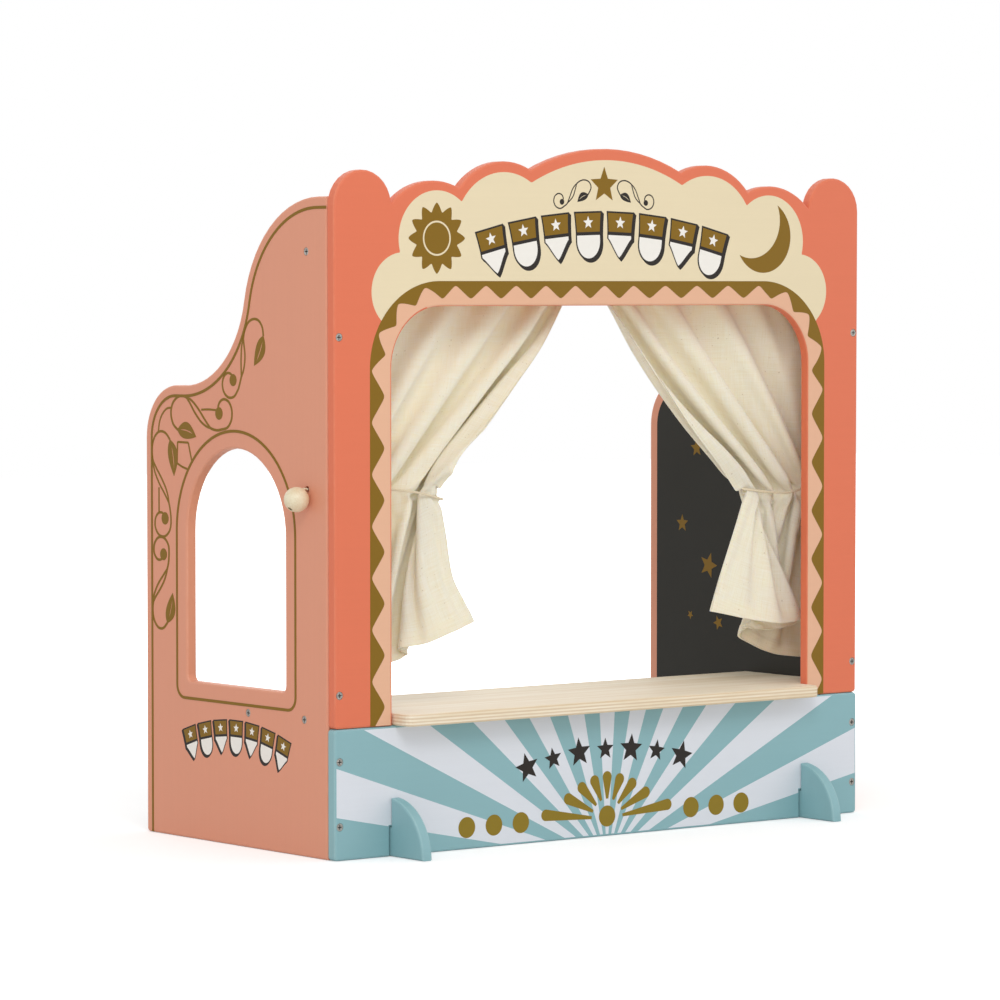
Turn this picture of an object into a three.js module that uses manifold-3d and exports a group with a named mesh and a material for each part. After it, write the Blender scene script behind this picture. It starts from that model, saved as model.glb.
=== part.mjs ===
// Toy puppet theatre that stands on a table: a scalloped front board over a lower board,
// two shaped side walls, a stage shelf, a curtain rod with tied-back curtains, and two feet.
// Millimetres, +Z up. The stage opens towards -Y, and y = 0 in the sizes is the front face.
import * as THREE from "three";
import { mergeVertices } from "three/addons/utils/BufferGeometryUtils.js";
import Module from "manifold-3d";

const wasm = await Module();
wasm.setup();

// Boards
const frontWidth = 540;
const boardThickness = 9.5;
const edgeRounding = 1.6;
const cornerRounding = 3;
const boardGap = 0.2;
const cutOverrun = 2;

// Lower front board
const lowerBoardHeight = 101;

// Upper front board: the legs and header round the stage opening, and the lobes of its top
// edge, whose tops drop below the middle arch and whose sides lap their neighbours
const legWidth = 55;
const headerHeight = 124.5;
const openingCornerRadius = 48;
const archTop = 549;
const archRadius = 178.5;
const lobeRadius = 58.5;
const innerLobeDrop = 11.5;
const outerLobeDrop = 27.5;
const lobeLap = 47.8;
const postRadius = 27.5;
const postDrop = 20;
const postLap = 16.7;

// Side walls
const wallRear = 256.5;
const wallAboveRod = 42;
const browY = 22;
const browRadius = 100;
const hollowRadius = 85;
const shoulderHeight = 361;
const rearCornerRadius = 42.5;

// Ticket window of the left wall
const windowY = 132;
const windowHalfWidth = 67.25;
const windowSill = 125.5;
const windowSpring = 245.5;
const windowCornerRadius = 5;

// Stage shelf
const shelfTongueReach = 19;
const shelfTongueGap = 1.5;
const shelfTongueCorner = 8;
const shelfRear = 129;

// Feet, crosswise under the lower front board
const footInset = 58;
const footRadius = 45.5;
const footLapHeight = 22.75;
const footSlotClearance = 0.5;

// Curtain rod
const rodRadius = 6;
const rodY = 36.5;
const rodAboveOpening = 42;

// Countersunk screws
const screwHeadRadius = 3;
const screwHeadDepth = 2;
const screwShankRadius = 1.6;
const screwLength = 28;
const screwPointLength = 4;
const screwSink = 0.3;
const screwGap = 0.3;
const screwSlotLength = 3.6;
const screwSlotWidth = 0.8;
const screwSlotDepth = 1.4;
const topScrewDrop = 23.5;
const upperScrewRise = 26;
const lowerScrewDrop = 25;
const bottomScrewHeight = 26;
const shelfScrewY = 40;
const shelfScrewRearInset = 14;

// Curtains
const clothThickness = 1.2;
const clothGap = 0.3;
const clothEndGap = 1.5;
const pocketWall = 2.2;
const pocketRipple = 0.6;
const rodRipple = 2;
const rodRippleCount = 6;
const waistHalfDepth = 9;
const hemHalfDepth = 16;
const hemDrop = 158;
const hemBackReach = 97;
const clothBelly = 5;
const foldSwell = 1.1;
const leftWaistReach = 117;
const leftHemReach = 153;
const rightWaistReach = 90;
const rightHemReach = 125;
const curtainSides = [
  { name: "left", side: -1, waistReach: leftWaistReach, hemReach: leftHemReach },
  { name: "right", side: 1, waistReach: rightWaistReach, hemReach: rightHemReach },
];

// Places of ten points across a curtain, from its wall edge to its free edge. At the waist they
// are shares of the waist's reach and half depth. At the hem they are shares of the back layer's
// reach, the free edge's reach, the hem's half depth and its drop below the waist.
const waistShares = [
  [0.07, 0.1], [0.3, 0.75], [0.62, 1], [0.92, 0.6], [0.78, 0.05],
  [0.46, -0.05], [0.2, -0.45], [0.42, -0.85], [0.74, -1], [0.98, -0.45],
];
const hemShares = [
  [0.05, 0, 0.6, 1], [0.4, 0, 1.05, 0.98], [0.75, 0, 1.1, 0.91], [1, 0, 0.6, 0.82],
  [0.72, 0, 0.15, 0.785], [0.42, 0, 0, 0.76], [0.1, 0.08, -0.35, 0.75],
  [0, 0.36, -0.95, 0.765], [0, 0.68, -1.1, 0.765], [0, 1, -0.6, 0.69],
];

// Tie-back cords and their beads
const cordRadius = 1;
const cordDrop = 9;
const cordGap = 0.4;
const cordInHole = 7;
const cordHoleRadius = 2.8;
const cordHoleY = 35.5;
const cordHoleHeight = 284;
const beadRadius = 9.75;
const beadBoreRadius = 2;
const beadWallGap = 0.3;
const beadDrop = 7.6;
const beadTiltAngle = 50;
const doubledCordRadius = 1.7;
const doubledCordReach = 5;

// Counts of steps in round shapes and cloth
const arcSteps = 14;
const roundSteps = 12;
const beadSteps = 20;
const cordSides = 8;
const tieBackSteps = 54;
const beadCordSteps = 14;
const pocketSides = 10;
const clothAcross = 34;
const clothAboveWaist = 7;
const clothBelowWaist = 5;

const halfWidth = frontWidth / 2;
const innerHalfWidth = halfWidth - boardThickness;
const openingHalfWidth = halfWidth - legWidth;
const openingTop = archTop - headerHeight;
const outerLobeX = halfWidth - postRadius - postRadius - lobeRadius + postLap;
const innerLobeX = outerLobeX - lobeRadius - lobeRadius + lobeLap;
const rodHeight = openingTop + rodAboveOpening;
const wallTop = rodHeight + wallAboveRod;
const footX = halfWidth - footInset;
const frontScrewHeights = [
  openingTop - topScrewDrop, lowerBoardHeight + upperScrewRise,
  lowerBoardHeight - lowerScrewDrop, bottomScrewHeight,
];
const shelfScrewYs = [shelfScrewY, shelfRear - shelfScrewRearInset];
const shelfHeight = lowerBoardHeight + boardGap;
const shelfScrewHeight = shelfHeight + boardThickness / 2;

const paint = (name, color, roughness = 0.55, metalness = 0) =>
  new THREE.MeshStandardMaterial({ name, color, roughness, metalness });
const coralPaint = paint("coral paint", 0xe27a5c);
const bluePaint = paint("blue paint", 0x8ab0b8);
const salmonPaint = paint("salmon paint", 0xd4947e);
const charcoalPaint = paint("charcoal paint", 0x3e3a34);
const plainWood = paint("plain wood", 0xe4d6b4, 0.6);
const cottonCloth = paint("cotton cloth", 0xece2cc, 0.95);
const cottonCord = paint("cotton cord", 0xe8dcc0, 0.9);
const steel = paint("steel", 0xb9bcc0, 0.35, 1);

function solidOf(geometry) {
  const plain = geometry.clone();
  plain.deleteAttribute("normal");
  plain.deleteAttribute("uv");
  const merged = mergeVertices(plain, 1e-4);
  return new wasm.Manifold(new wasm.Mesh({
    numProp: 3,
    vertProperties: new Float32Array(merged.attributes.position.array),
    triVerts: new Uint32Array(merged.index.array),
  }));
}

function geometryOf(solid) {
  const mesh = solid.getMesh();
  const geometry = new THREE.BufferGeometry();
  geometry.setAttribute("position", new THREE.BufferAttribute(new Float32Array(mesh.vertProperties), 3));
  geometry.setIndex(new THREE.BufferAttribute(new Uint32Array(mesh.triVerts), 1));
  geometry.computeVertexNormals();
  return geometry;
}

function arc(x, y, radius, from, to, steps = arcSteps) {
  return Array.from({ length: steps + 1 }, (_, i) => {
    const angle = from + ((to - from) * i) / steps;
    return new THREE.Vector2(x + radius * Math.cos(angle), y + radius * Math.sin(angle));
  });
}

// Corner of an outline, rounded between the points before and after it.
function roundedCorner(before, corner, after, radius, steps = 4) {
  const toBefore = before.clone().sub(corner).normalize();
  const toAfter = after.clone().sub(corner).normalize();
  const halfAngle = Math.acos(toBefore.dot(toAfter)) / 2;
  const bisector = toBefore.clone().add(toAfter).normalize();
  const centre = corner.clone().addScaledVector(bisector, radius / Math.sin(halfAngle));
  const start = toBefore.multiplyScalar(radius / Math.tan(halfAngle)).add(corner).sub(centre);
  const end = toAfter.multiplyScalar(radius / Math.tan(halfAngle)).add(corner).sub(centre);
  const turn = Math.atan2(start.cross(end), start.dot(end));
  return arc(centre.x, centre.y, radius, start.angle(), start.angle() + turn, steps);
}

// Outline from corners written as [x, y, rounding].
function cornered(corners) {
  const points = corners.map(([x, y]) => new THREE.Vector2(x, y));
  const last = points.length - 1;
  return points.flatMap((point, i) => {
    const rounding = corners[i][2] ?? 0;
    const before = points[i === 0 ? last : i - 1];
    const after = points[i === last ? 0 : i + 1];
    return rounding > 0 ? roundedCorner(before, point, after, rounding) : [point];
  });
}

// Board with softly rounded edges, lying on z = 0 with its outline in x and y.
function board(points, holes = []) {
  const shape = new THREE.Shape(points);
  shape.holes = holes.map((hole) => new THREE.Path(hole));
  const geometry = new THREE.ExtrudeGeometry(shape, {
    depth: boardThickness - edgeRounding - edgeRounding,
    bevelThickness: edgeRounding,
    bevelSize: edgeRounding,
    bevelOffset: -edgeRounding,
    bevelSegments: 2,
  });
  return geometry.translate(0, 0, edgeRounding);
}

// Stands a lying board up across X, with its outline in x and z and its front face at y.
function standAcross(geometry, y) {
  return geometry.rotateX(Math.PI / 2).translate(0, y + boardThickness, 0);
}

// Stands a lying board up along Y, with its outline in y and z and its low-x face at x.
function standAlong(geometry, x) {
  const turn = new THREE.Matrix4().makeBasis(
    new THREE.Vector3(0, 1, 0), new THREE.Vector3(0, 0, 1), new THREE.Vector3(1, 0, 0));
  return geometry.applyMatrix4(turn).translate(x, 0, 0);
}

// Body of a screw, or of the hole that takes it, along +Y from its head.
function screwBody(gap, overrun) {
  const mouth = overrun > 0 ? [new THREE.Vector2(screwHeadRadius + gap, -overrun)] : [];
  return new THREE.LatheGeometry([
    new THREE.Vector2(0, -overrun),
    ...mouth,
    new THREE.Vector2(screwHeadRadius + gap, 0),
    new THREE.Vector2(screwShankRadius + gap, screwHeadDepth),
    new THREE.Vector2(screwShankRadius + gap, screwLength - screwPointLength),
    new THREE.Vector2(0, screwLength + gap),
  ], roundSteps);
}

// Screws by the board that they enter first. Each points along +Y from its head, turned about Z.
const screws = [];
for (const side of [-1, 1]) {
  const sideName = side < 0 ? "left" : "right";
  frontScrewHeights.forEach((height, i) => {
    const place = new THREE.Vector3(side * (halfWidth - boardThickness / 2), screwSink, height);
    screws.push({ name: `front_screw_${sideName}_${i + 1}`, place, turn: 0 });
  });
  const sideX = side * (halfWidth - screwSink);
  const turn = side * (Math.PI / 2);
  const rodPlace = new THREE.Vector3(sideX, rodY, rodHeight);
  screws.push({ name: `${sideName}_rod_screw`, place: rodPlace, turn });
  shelfScrewYs.forEach((y, i) => {
    const place = new THREE.Vector3(sideX, y, shelfScrewHeight);
    screws.push({ name: `${sideName}_shelf_screw_${i + 1}`, place, turn });
  });
}

const screwHole = screwBody(screwGap, cutOverrun);
const screwHoles = screws.map(({ place, turn }) =>
  solidOf(screwHole.clone().rotateZ(turn).translate(place.x, place.y, place.z)));

function withScrewHoles(geometry) {
  let solid = solidOf(geometry);
  for (const hole of screwHoles) solid = solid.subtract(hole);
  return solid;
}

function screwGeometry() {
  const crossCut = (x, z) => new THREE.BoxGeometry(x, screwSlotDepth + cutOverrun, z)
    .translate(0, (screwSlotDepth - cutOverrun) / 2, 0);
  return geometryOf(solidOf(screwBody(0, 0))
    .subtract(solidOf(crossCut(screwSlotLength, screwSlotWidth)))
    .subtract(solidOf(crossCut(screwSlotWidth, screwSlotLength))));
}

// Upper point where two lobes of the top edge meet.
function lobesMeet(a, b) {
  const away = b.centre.clone().sub(a.centre);
  const distance = away.length();
  const along = (distance ** 2 + a.radius ** 2 - b.radius ** 2) / (2 * distance);
  const rise = Math.sqrt(a.radius ** 2 - along ** 2);
  away.divideScalar(distance);
  return a.centre.clone().addScaledVector(away, along)
    .add(new THREE.Vector2(-away.y, away.x).multiplyScalar(rise));
}

const lobe = (x, top, radius) => ({ centre: new THREE.Vector2(x, top - radius), radius });

// Top edge from the right-hand post's outer side to the left-hand one's, lobe after lobe.
function topEdge() {
  const rightLobes = [
    lobe(halfWidth - postRadius, archTop - postDrop, postRadius),
    lobe(outerLobeX, archTop - outerLobeDrop, lobeRadius),
    lobe(innerLobeX, archTop - innerLobeDrop, lobeRadius),
  ];
  const leftLobes = rightLobes.map(({ centre, radius }) =>
    ({ centre: new THREE.Vector2(-centre.x, centre.y), radius })).reverse();
  const lobes = [...rightLobes, lobe(0, archTop, archRadius), ...leftLobes];
  const angleOn = ({ centre }, point) => Math.atan2(point.y - centre.y, point.x - centre.x);
  return lobes.flatMap((each, i) => {
    const next = lobes[i + 1];
    const before = lobes[i - 1];
    const from = before ? angleOn(each, lobesMeet(each, before)) : 0;
    const to = next ? angleOn(each, lobesMeet(next, each)) : Math.PI;
    const points = arc(each.centre.x, each.centre.y, each.radius, from, to);
    return next ? points.slice(0, -1) : points;
  });
}

function upperFrontBoard() {
  const bottom = lowerBoardHeight + boardGap;
  const springX = openingHalfWidth - openingCornerRadius;
  const springZ = openingTop - openingCornerRadius;
  const leftLeg = cornered([
    [-halfWidth, bottom, cornerRounding],
    [-openingHalfWidth, bottom],
    [-openingHalfWidth, springZ],
  ]).slice(0, -1);
  const rightLeg = leftLeg.map((point) => new THREE.Vector2(-point.x, point.y)).reverse();
  return board([
    ...leftLeg,
    ...arc(-springX, springZ, openingCornerRadius, Math.PI, Math.PI / 2),
    ...arc(springX, springZ, openingCornerRadius, Math.PI / 2, 0),
    ...rightLeg,
    ...topEdge(),
  ]);
}

function lowerFrontBoard() {
  const slotHalf = boardThickness / 2 + footSlotClearance;
  const slotTop = footLapHeight + boardGap;
  const slot = (x) => [
    [x - slotHalf, 0], [x - slotHalf, slotTop], [x + slotHalf, slotTop], [x + slotHalf, 0],
  ];
  return board(cornered([
    [-halfWidth, 0, cornerRounding],
    ...slot(-footX),
    ...slot(footX),
    [halfWidth, 0, cornerRounding],
    [halfWidth, lowerBoardHeight, cornerRounding],
    [-halfWidth, lowerBoardHeight, cornerRounding],
  ]));
}

function wallOutline() {
  const front = boardThickness + boardGap;
  const browZ = wallTop - browRadius;
  const hollowZ = shoulderHeight + hollowRadius;
  const hollowY = browY + Math.sqrt((browRadius + hollowRadius) ** 2 - (hollowZ - browZ) ** 2);
  const tangent = Math.atan2(hollowZ - browZ, hollowY - browY);
  const cornerY = wallRear - rearCornerRadius;
  return [
    new THREE.Vector2(front, 0),
    ...cornered([[front, 0], [wallRear, 0, cornerRounding], [wallRear, shoulderHeight]]).slice(1, -1),
    ...arc(cornerY, shoulderHeight - rearCornerRadius, rearCornerRadius, 0, Math.PI / 2),
    ...arc(hollowY, hollowZ, hollowRadius, -Math.PI / 2, tangent - Math.PI),
    ...arc(browY, browZ, browRadius, tangent, Math.PI / 2).slice(1),
    new THREE.Vector2(front, wallTop),
  ];
}

function windowOutline() {
  const low = windowY - windowHalfWidth;
  const high = windowY + windowHalfWidth;
  const sill = cornered([
    [low, windowSpring],
    [low, windowSill, windowCornerRadius],
    [high, windowSill, windowCornerRadius],
    [high, windowSpring],
  ]).slice(1, -1);
  return [...sill, ...arc(windowY, windowSpring, windowHalfWidth, 0, Math.PI, arcSteps + arcSteps)];
}

function sideWall(side) {
  const holes = side < 0 ? [windowOutline()] : [];
  const x = side < 0 ? -halfWidth : innerHalfWidth;
  const wall = standAlong(board(wallOutline(), holes), x);
  const cordHole = new THREE.CylinderGeometry(
    cordHoleRadius, cordHoleRadius, boardThickness + cutOverrun, roundSteps)
    .rotateZ(Math.PI / 2)
    .translate(side * (halfWidth - boardThickness / 2), cordHoleY, cordHoleHeight);
  return withScrewHoles(wall).subtract(solidOf(cordHole));
}

function stageShelf() {
  const back = boardThickness + boardGap;
  const side = innerHalfWidth - boardGap;
  const tongue = openingHalfWidth - shelfTongueGap;
  return board(cornered([
    [-tongue, -shelfTongueReach, shelfTongueCorner],
    [tongue, -shelfTongueReach, shelfTongueCorner],
    [tongue, back],
    [side, back],
    [side, shelfRear],
    [-side, shelfRear],
    [-side, back],
    [-tongue, back],
  ])).translate(0, 0, shelfHeight);
}

// Half-round foot with a slot from its top that takes the lower front board.
function foot() {
  const middle = boardThickness / 2;
  const slotHalf = middle + boardGap;
  const rim = Math.acos(slotHalf / footRadius);
  const slotFloor = footLapHeight;
  const points = [
    ...arc(middle, 0, footRadius, 0, rim),
    new THREE.Vector2(middle + slotHalf, slotFloor),
    new THREE.Vector2(middle - slotHalf, slotFloor),
    ...arc(middle, 0, footRadius, Math.PI - rim, Math.PI),
  ];
  return standAlong(board(points), -boardThickness / 2);
}

function curtainRod() {
  const length = innerHalfWidth - boardGap;
  return new THREE.CylinderGeometry(rodRadius, rodRadius, length + length, beadSteps)
    .rotateZ(Math.PI / 2)
    .translate(0, rodY, rodHeight);
}

// Smooth row of values through shares that stand at even steps across the cloth.
function acrossCloth(rows) {
  const spans = rows.length - 1;
  return (share, column) => {
    const place = share * spans;
    const start = Math.min(Math.floor(place), spans - 1);
    const t = place - start;
    const at = (i) => rows[Math.min(Math.max(i, 0), spans)][column];
    const [a, b, c, d] = [at(start - 1), at(start), at(start + 1), at(start + 2)];
    return b + (t * (c - a + t * (a + a - 5 * b + 4 * c - d + t * (3 * (b - c) + d - a)))) / 2;
  };
}

const waistAt = acrossCloth(waistShares);
const hemAt = acrossCloth(hemShares);
const clothTopHeight = rodHeight - rodRadius - pocketWall / 2;

// Point of a curtain's middle surface: reach from the wall, depth behind the rod, and height.
// across runs from the wall edge to the free edge, down from the rod (0) past the waist (1) to the hem (2).
function clothPoint(curtain, across, down) {
  const waistReach = waistAt(across, 0) * curtain.waistReach;
  const waistDepth = waistAt(across, 1) * waistHalfDepth;
  const waistHeight = cordHoleHeight - cordDrop * waistAt(across, 0);
  if (down <= 1) {
    const span = innerHalfWidth - clothEndGap - clothEndGap;
    const ripple = rodRipple * Math.sin(across * rodRippleCount * 2 * Math.PI);
    const swell = Math.sin(Math.PI * down);
    const reach = THREE.MathUtils.lerp(clothEndGap + span * across, waistReach, down);
    const depth = ripple * (1 - down) * (1 + swell) + waistDepth * (down + foldSwell * swell)
      - clothBelly * swell * (1 - across);
    return new THREE.Vector3(reach, depth, THREE.MathUtils.lerp(clothTopHeight, waistHeight, down));
  }
  const fall = down - 1;
  const hemReach = hemAt(across, 0) * hemBackReach + hemAt(across, 1) * curtain.hemReach;
  return new THREE.Vector3(
    THREE.MathUtils.lerp(waistReach, hemReach, fall ** 1.15),
    THREE.MathUtils.lerp(waistDepth, hemAt(across, 2) * hemHalfDepth, fall),
    THREE.MathUtils.lerp(waistHeight, cordHoleHeight - hemAt(across, 3) * hemDrop, fall));
}

// Closed sheet of even thickness about a grid of points, rows down by columns across.
function sheet(grid, thickness) {
  const rows = grid.length;
  const columns = grid[0].length;
  const positions = [];
  const place = (row, column) =>
    grid[THREE.MathUtils.clamp(row, 0, rows - 1)][THREE.MathUtils.clamp(column, 0, columns - 1)];
  for (const offset of [-thickness / 2, thickness / 2]) {
    for (let row = 0; row < rows; row += 1) {
      for (let column = 0; column < columns; column += 1) {
        const across = place(row, column + 1).clone().sub(place(row, column - 1));
        const down = place(row + 1, column).clone().sub(place(row - 1, column));
        const normal = across.cross(down).normalize();
        positions.push(...place(row, column).clone().addScaledVector(normal, offset).toArray());
      }
    }
  }
  const front = (row, column) => row * columns + column;
  const back = (row, column) => rows * columns + front(row, column);
  const index = [];
  const quad = (a, b, c, d) => index.push(a, b, c, a, c, d);
  for (let row = 0; row < rows - 1; row += 1) {
    for (let column = 0; column < columns - 1; column += 1) {
      quad(front(row, column), front(row + 1, column), front(row + 1, column + 1), front(row, column + 1));
      quad(back(row, column), back(row, column + 1), back(row + 1, column + 1), back(row + 1, column));
    }
    quad(front(row + 1, 0), front(row, 0), back(row, 0), back(row + 1, 0));
    const end = columns - 1;
    quad(front(row, end), front(row + 1, end), back(row + 1, end), back(row, end));
  }
  for (let column = 0; column < columns - 1; column += 1) {
    const end = rows - 1;
    quad(front(0, column), front(0, column + 1), back(0, column + 1), back(0, column));
    quad(front(end, column + 1), front(end, column), back(end, column), back(end, column + 1));
  }
  const geometry = new THREE.BufferGeometry();
  geometry.setAttribute("position", new THREE.BufferAttribute(new Float32Array(positions), 3));
  geometry.setIndex(index);
  return geometry;
}

// Rippled pocket round the rod at the top of a curtain, before its bore is cut.
function rodPocket(curtain) {
  const start = clothEndGap;
  const end = innerHalfWidth - clothEndGap;
  const steps = rodRippleCount + rodRippleCount;
  const rings = [];
  for (let i = 0; i <= steps; i += 1) {
    const share = i / steps;
    const ripple = i % 2 === 0 ? -pocketRipple : pocketRipple;
    const radius = rodRadius + clothGap + pocketWall + ripple;
    rings.push({ reach: THREE.MathUtils.lerp(start, end, share), radius });
  }
  const profile = [
    new THREE.Vector2(0, rings[0].reach),
    ...rings.map(({ reach, radius }) => new THREE.Vector2(radius, reach)),
    new THREE.Vector2(0, rings[steps].reach),
  ];
  return new THREE.LatheGeometry(profile, pocketSides)
    .rotateZ(curtain.side < 0 ? -Math.PI / 2 : Math.PI / 2)
    .translate(curtain.side * innerHalfWidth, rodY, rodHeight);
}

function curtainGeometry(curtain) {
  const downs = [];
  for (let i = 0; i <= clothAboveWaist; i += 1) downs.push(i / clothAboveWaist);
  for (let i = 1; i <= clothBelowWaist; i += 1) downs.push(1 + i / clothBelowWaist);
  const grid = downs.map((down) => Array.from({ length: clothAcross + 1 }, (_, i) => {
    const point = clothPoint(curtain, i / clothAcross, down);
    return new THREE.Vector3(curtain.side * (innerHalfWidth - point.x), rodY + point.y, point.z);
  }));
  const cloth = sheet(grid, clothThickness);
  const bore = new THREE.CylinderGeometry(
    rodRadius + clothGap, rodRadius + clothGap, frontWidth, roundSteps)
    .rotateZ(Math.PI / 2)
    .translate(0, rodY, rodHeight);
  return geometryOf(solidOf(cloth).add(solidOf(rodPocket(curtain))).subtract(solidOf(bore)));
}

// Round tube along a curve, closed at both ends.
function tube(curve, radius, steps) {
  const section = new THREE.Shape(arc(0, 0, radius, 0, 2 * Math.PI, cordSides).slice(0, -1));
  return new THREE.ExtrudeGeometry(section, { steps, extrudePath: curve, bevelEnabled: false });
}

// Cord that leaves the wall's hole, goes round the curtain's waist and returns into the hole.
function tieBack(curtain) {
  const strandGap = cordRadius + clothGap / 2;
  const depth = waistHalfDepth + clothThickness / 2 + cordGap + cordRadius;
  const endReach = curtain.waistReach + clothThickness / 2 + cordGap + cordRadius;
  const routeShares = [[0.04, 0.3], [0.2, 0.85], [0.48, 1.05], [0.76, 1.08], [0.94, 0.93], [1, 0.5]];
  const outward = routeShares.map(([along, aside]) => [endReach * along, -depth * aside]);
  const homeward = outward.map(([reach, aside]) => [reach, -aside]).reverse();
  const route = [
    [-cordInHole, -strandGap], [-cordInHole / 2, -strandGap], [clothGap, -strandGap], ...outward,
    ...homeward, [clothGap, strandGap], [-cordInHole / 2, strandGap], [-cordInHole, strandGap],
  ];
  const points = route.map(([reach, aside]) => new THREE.Vector3(
    curtain.side * (innerHalfWidth - reach),
    cordHoleY + aside + (rodY - cordHoleY) * THREE.MathUtils.clamp(reach / endReach, 0, 1),
    cordHoleHeight - cordDrop * THREE.MathUtils.clamp(reach / endReach, 0, 1)));
  return tube(new THREE.CatmullRomCurve3(points), cordRadius, tieBackSteps);
}

const beadTilt = THREE.MathUtils.degToRad(beadTiltAngle);
const beadOut = halfWidth + beadWallGap + beadRadius;
const beadHeight = cordHoleHeight - beadDrop;

// Bead with its bore along Y, centred on the origin.
function beadGeometry() {
  const edge = Math.asin(beadBoreRadius / beadRadius);
  const outside = arc(0, 0, beadRadius, edge - Math.PI / 2, Math.PI / 2 - edge, roundSteps);
  return new THREE.LatheGeometry([...outside, outside[0].clone()], beadSteps);
}

// Doubled cord from the hole's mouth into the bead's bore.
function beadCord(side) {
  const axis = new THREE.Vector3(side * Math.cos(beadTilt), 0, -Math.sin(beadTilt));
  const centre = new THREE.Vector3(side * beadOut, cordHoleY, beadHeight);
  const mouth = new THREE.Vector3(side * halfWidth, cordHoleY, cordHoleHeight);
  const boreTop = centre.clone().addScaledVector(axis, -beadRadius);
  const bend = boreTop.clone().addScaledVector(axis, -doubledCordRadius);
  const route = new THREE.CurvePath();
  route.add(new THREE.QuadraticBezierCurve3(mouth, bend, boreTop));
  route.add(new THREE.LineCurve3(boreTop, centre.clone().addScaledVector(axis, doubledCordReach)));
  return tube(route, doubledCordRadius, beadCordSteps);
}

const theatre = new THREE.Group();
const assembly = new THREE.Group();
assembly.position.y = -(wallRear + boardThickness / 2 - footRadius) / 2;
theatre.add(assembly);

function addPiece(name, geometry, material) {
  const mesh = new THREE.Mesh(geometry, material.clone());
  mesh.name = name;
  assembly.add(mesh);
  return mesh;
}

addPiece("front_panel", geometryOf(withScrewHoles(standAcross(upperFrontBoard(), 0))), coralPaint);
addPiece("base_panel", geometryOf(withScrewHoles(standAcross(lowerFrontBoard(), 0))), bluePaint);
addPiece("left_wall", geometryOf(sideWall(-1)), salmonPaint);
addPiece("right_wall", geometryOf(sideWall(1)), charcoalPaint);
addPiece("stage_shelf", geometryOf(withScrewHoles(stageShelf())), plainWood);
addPiece("left_foot", foot(), bluePaint).position.x = -footX;
addPiece("right_foot", foot(), bluePaint).position.x = footX;
addPiece("curtain_rod", geometryOf(withScrewHoles(curtainRod())), plainWood);

const screwShape = screwGeometry();
for (const { name, place, turn } of screws) {
  const screw = addPiece(name, screwShape, steel);
  screw.position.copy(place);
  screw.rotation.z = turn;
}

for (const curtain of curtainSides) {
  addPiece(`${curtain.name}_curtain`, curtainGeometry(curtain), cottonCloth);
  addPiece(`${curtain.name}_tieback`, tieBack(curtain), cottonCord);
  const bead = addPiece(`${curtain.name}_bead`, beadGeometry(), plainWood);
  bead.position.set(curtain.side * beadOut, cordHoleY, beadHeight);
  bead.rotation.y = curtain.side * (Math.PI / 2 + beadTilt);
  bead.rotateX(Math.PI / 2);
  addPiece(`${curtain.name}_bead_cord`, beadCord(curtain.side), cottonCord);
}

export default theatre;
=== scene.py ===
import math

import bmesh
import bpy
import numpy as np
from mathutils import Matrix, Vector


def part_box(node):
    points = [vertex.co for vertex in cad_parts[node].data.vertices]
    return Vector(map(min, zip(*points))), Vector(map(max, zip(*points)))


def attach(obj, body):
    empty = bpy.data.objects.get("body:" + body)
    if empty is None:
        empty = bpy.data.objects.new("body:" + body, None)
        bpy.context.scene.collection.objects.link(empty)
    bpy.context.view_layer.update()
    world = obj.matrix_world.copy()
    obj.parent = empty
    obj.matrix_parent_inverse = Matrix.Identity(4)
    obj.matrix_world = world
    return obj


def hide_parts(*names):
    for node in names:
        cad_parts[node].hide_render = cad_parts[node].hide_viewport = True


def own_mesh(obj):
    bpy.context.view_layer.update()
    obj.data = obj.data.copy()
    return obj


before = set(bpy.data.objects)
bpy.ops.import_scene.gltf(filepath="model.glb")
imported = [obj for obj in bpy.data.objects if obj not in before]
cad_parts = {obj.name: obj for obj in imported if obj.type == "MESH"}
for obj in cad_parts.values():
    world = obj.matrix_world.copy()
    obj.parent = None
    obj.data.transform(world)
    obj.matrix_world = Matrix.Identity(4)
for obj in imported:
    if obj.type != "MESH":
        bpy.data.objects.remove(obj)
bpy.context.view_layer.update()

# Measures are millimetres until a mesh is made. Flat artwork is drawn in the board's own two
# directions: x and z on the front, y (behind the front face) and z on the walls.
mm = 0.001
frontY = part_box("front_panel")[0][1] / mm
print("frame loaded:", len(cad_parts), "nodes")


# meshes from arrays


def gridQuads(rows, columns, wrapRows=False, wrapColumns=False):
    # quads between neighbouring points of a grid that is numbered row by row
    row = np.arange(rows if wrapRows else rows - 1)[:, None]
    column = np.arange(columns if wrapColumns else columns - 1)[None, :]
    nextRow, nextColumn = (row + 1) % rows, (column + 1) % columns
    quads = np.stack([row * columns + column, nextRow * columns + column,
                      nextRow * columns + nextColumn, row * columns + nextColumn], -1)
    return quads.reshape(-1, 4).tolist()


def joinParts(parts):
    # several (points, faces) as one
    points, faces, first = [], [], 0
    for partPoints, partFaces in parts:
        partPoints = np.asarray(partPoints, float).reshape(-1, 3)
        points.append(partPoints)
        faces += [[i + first for i in face] for face in partFaces]
        first += len(partPoints)
    return np.concatenate(points), faces


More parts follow.
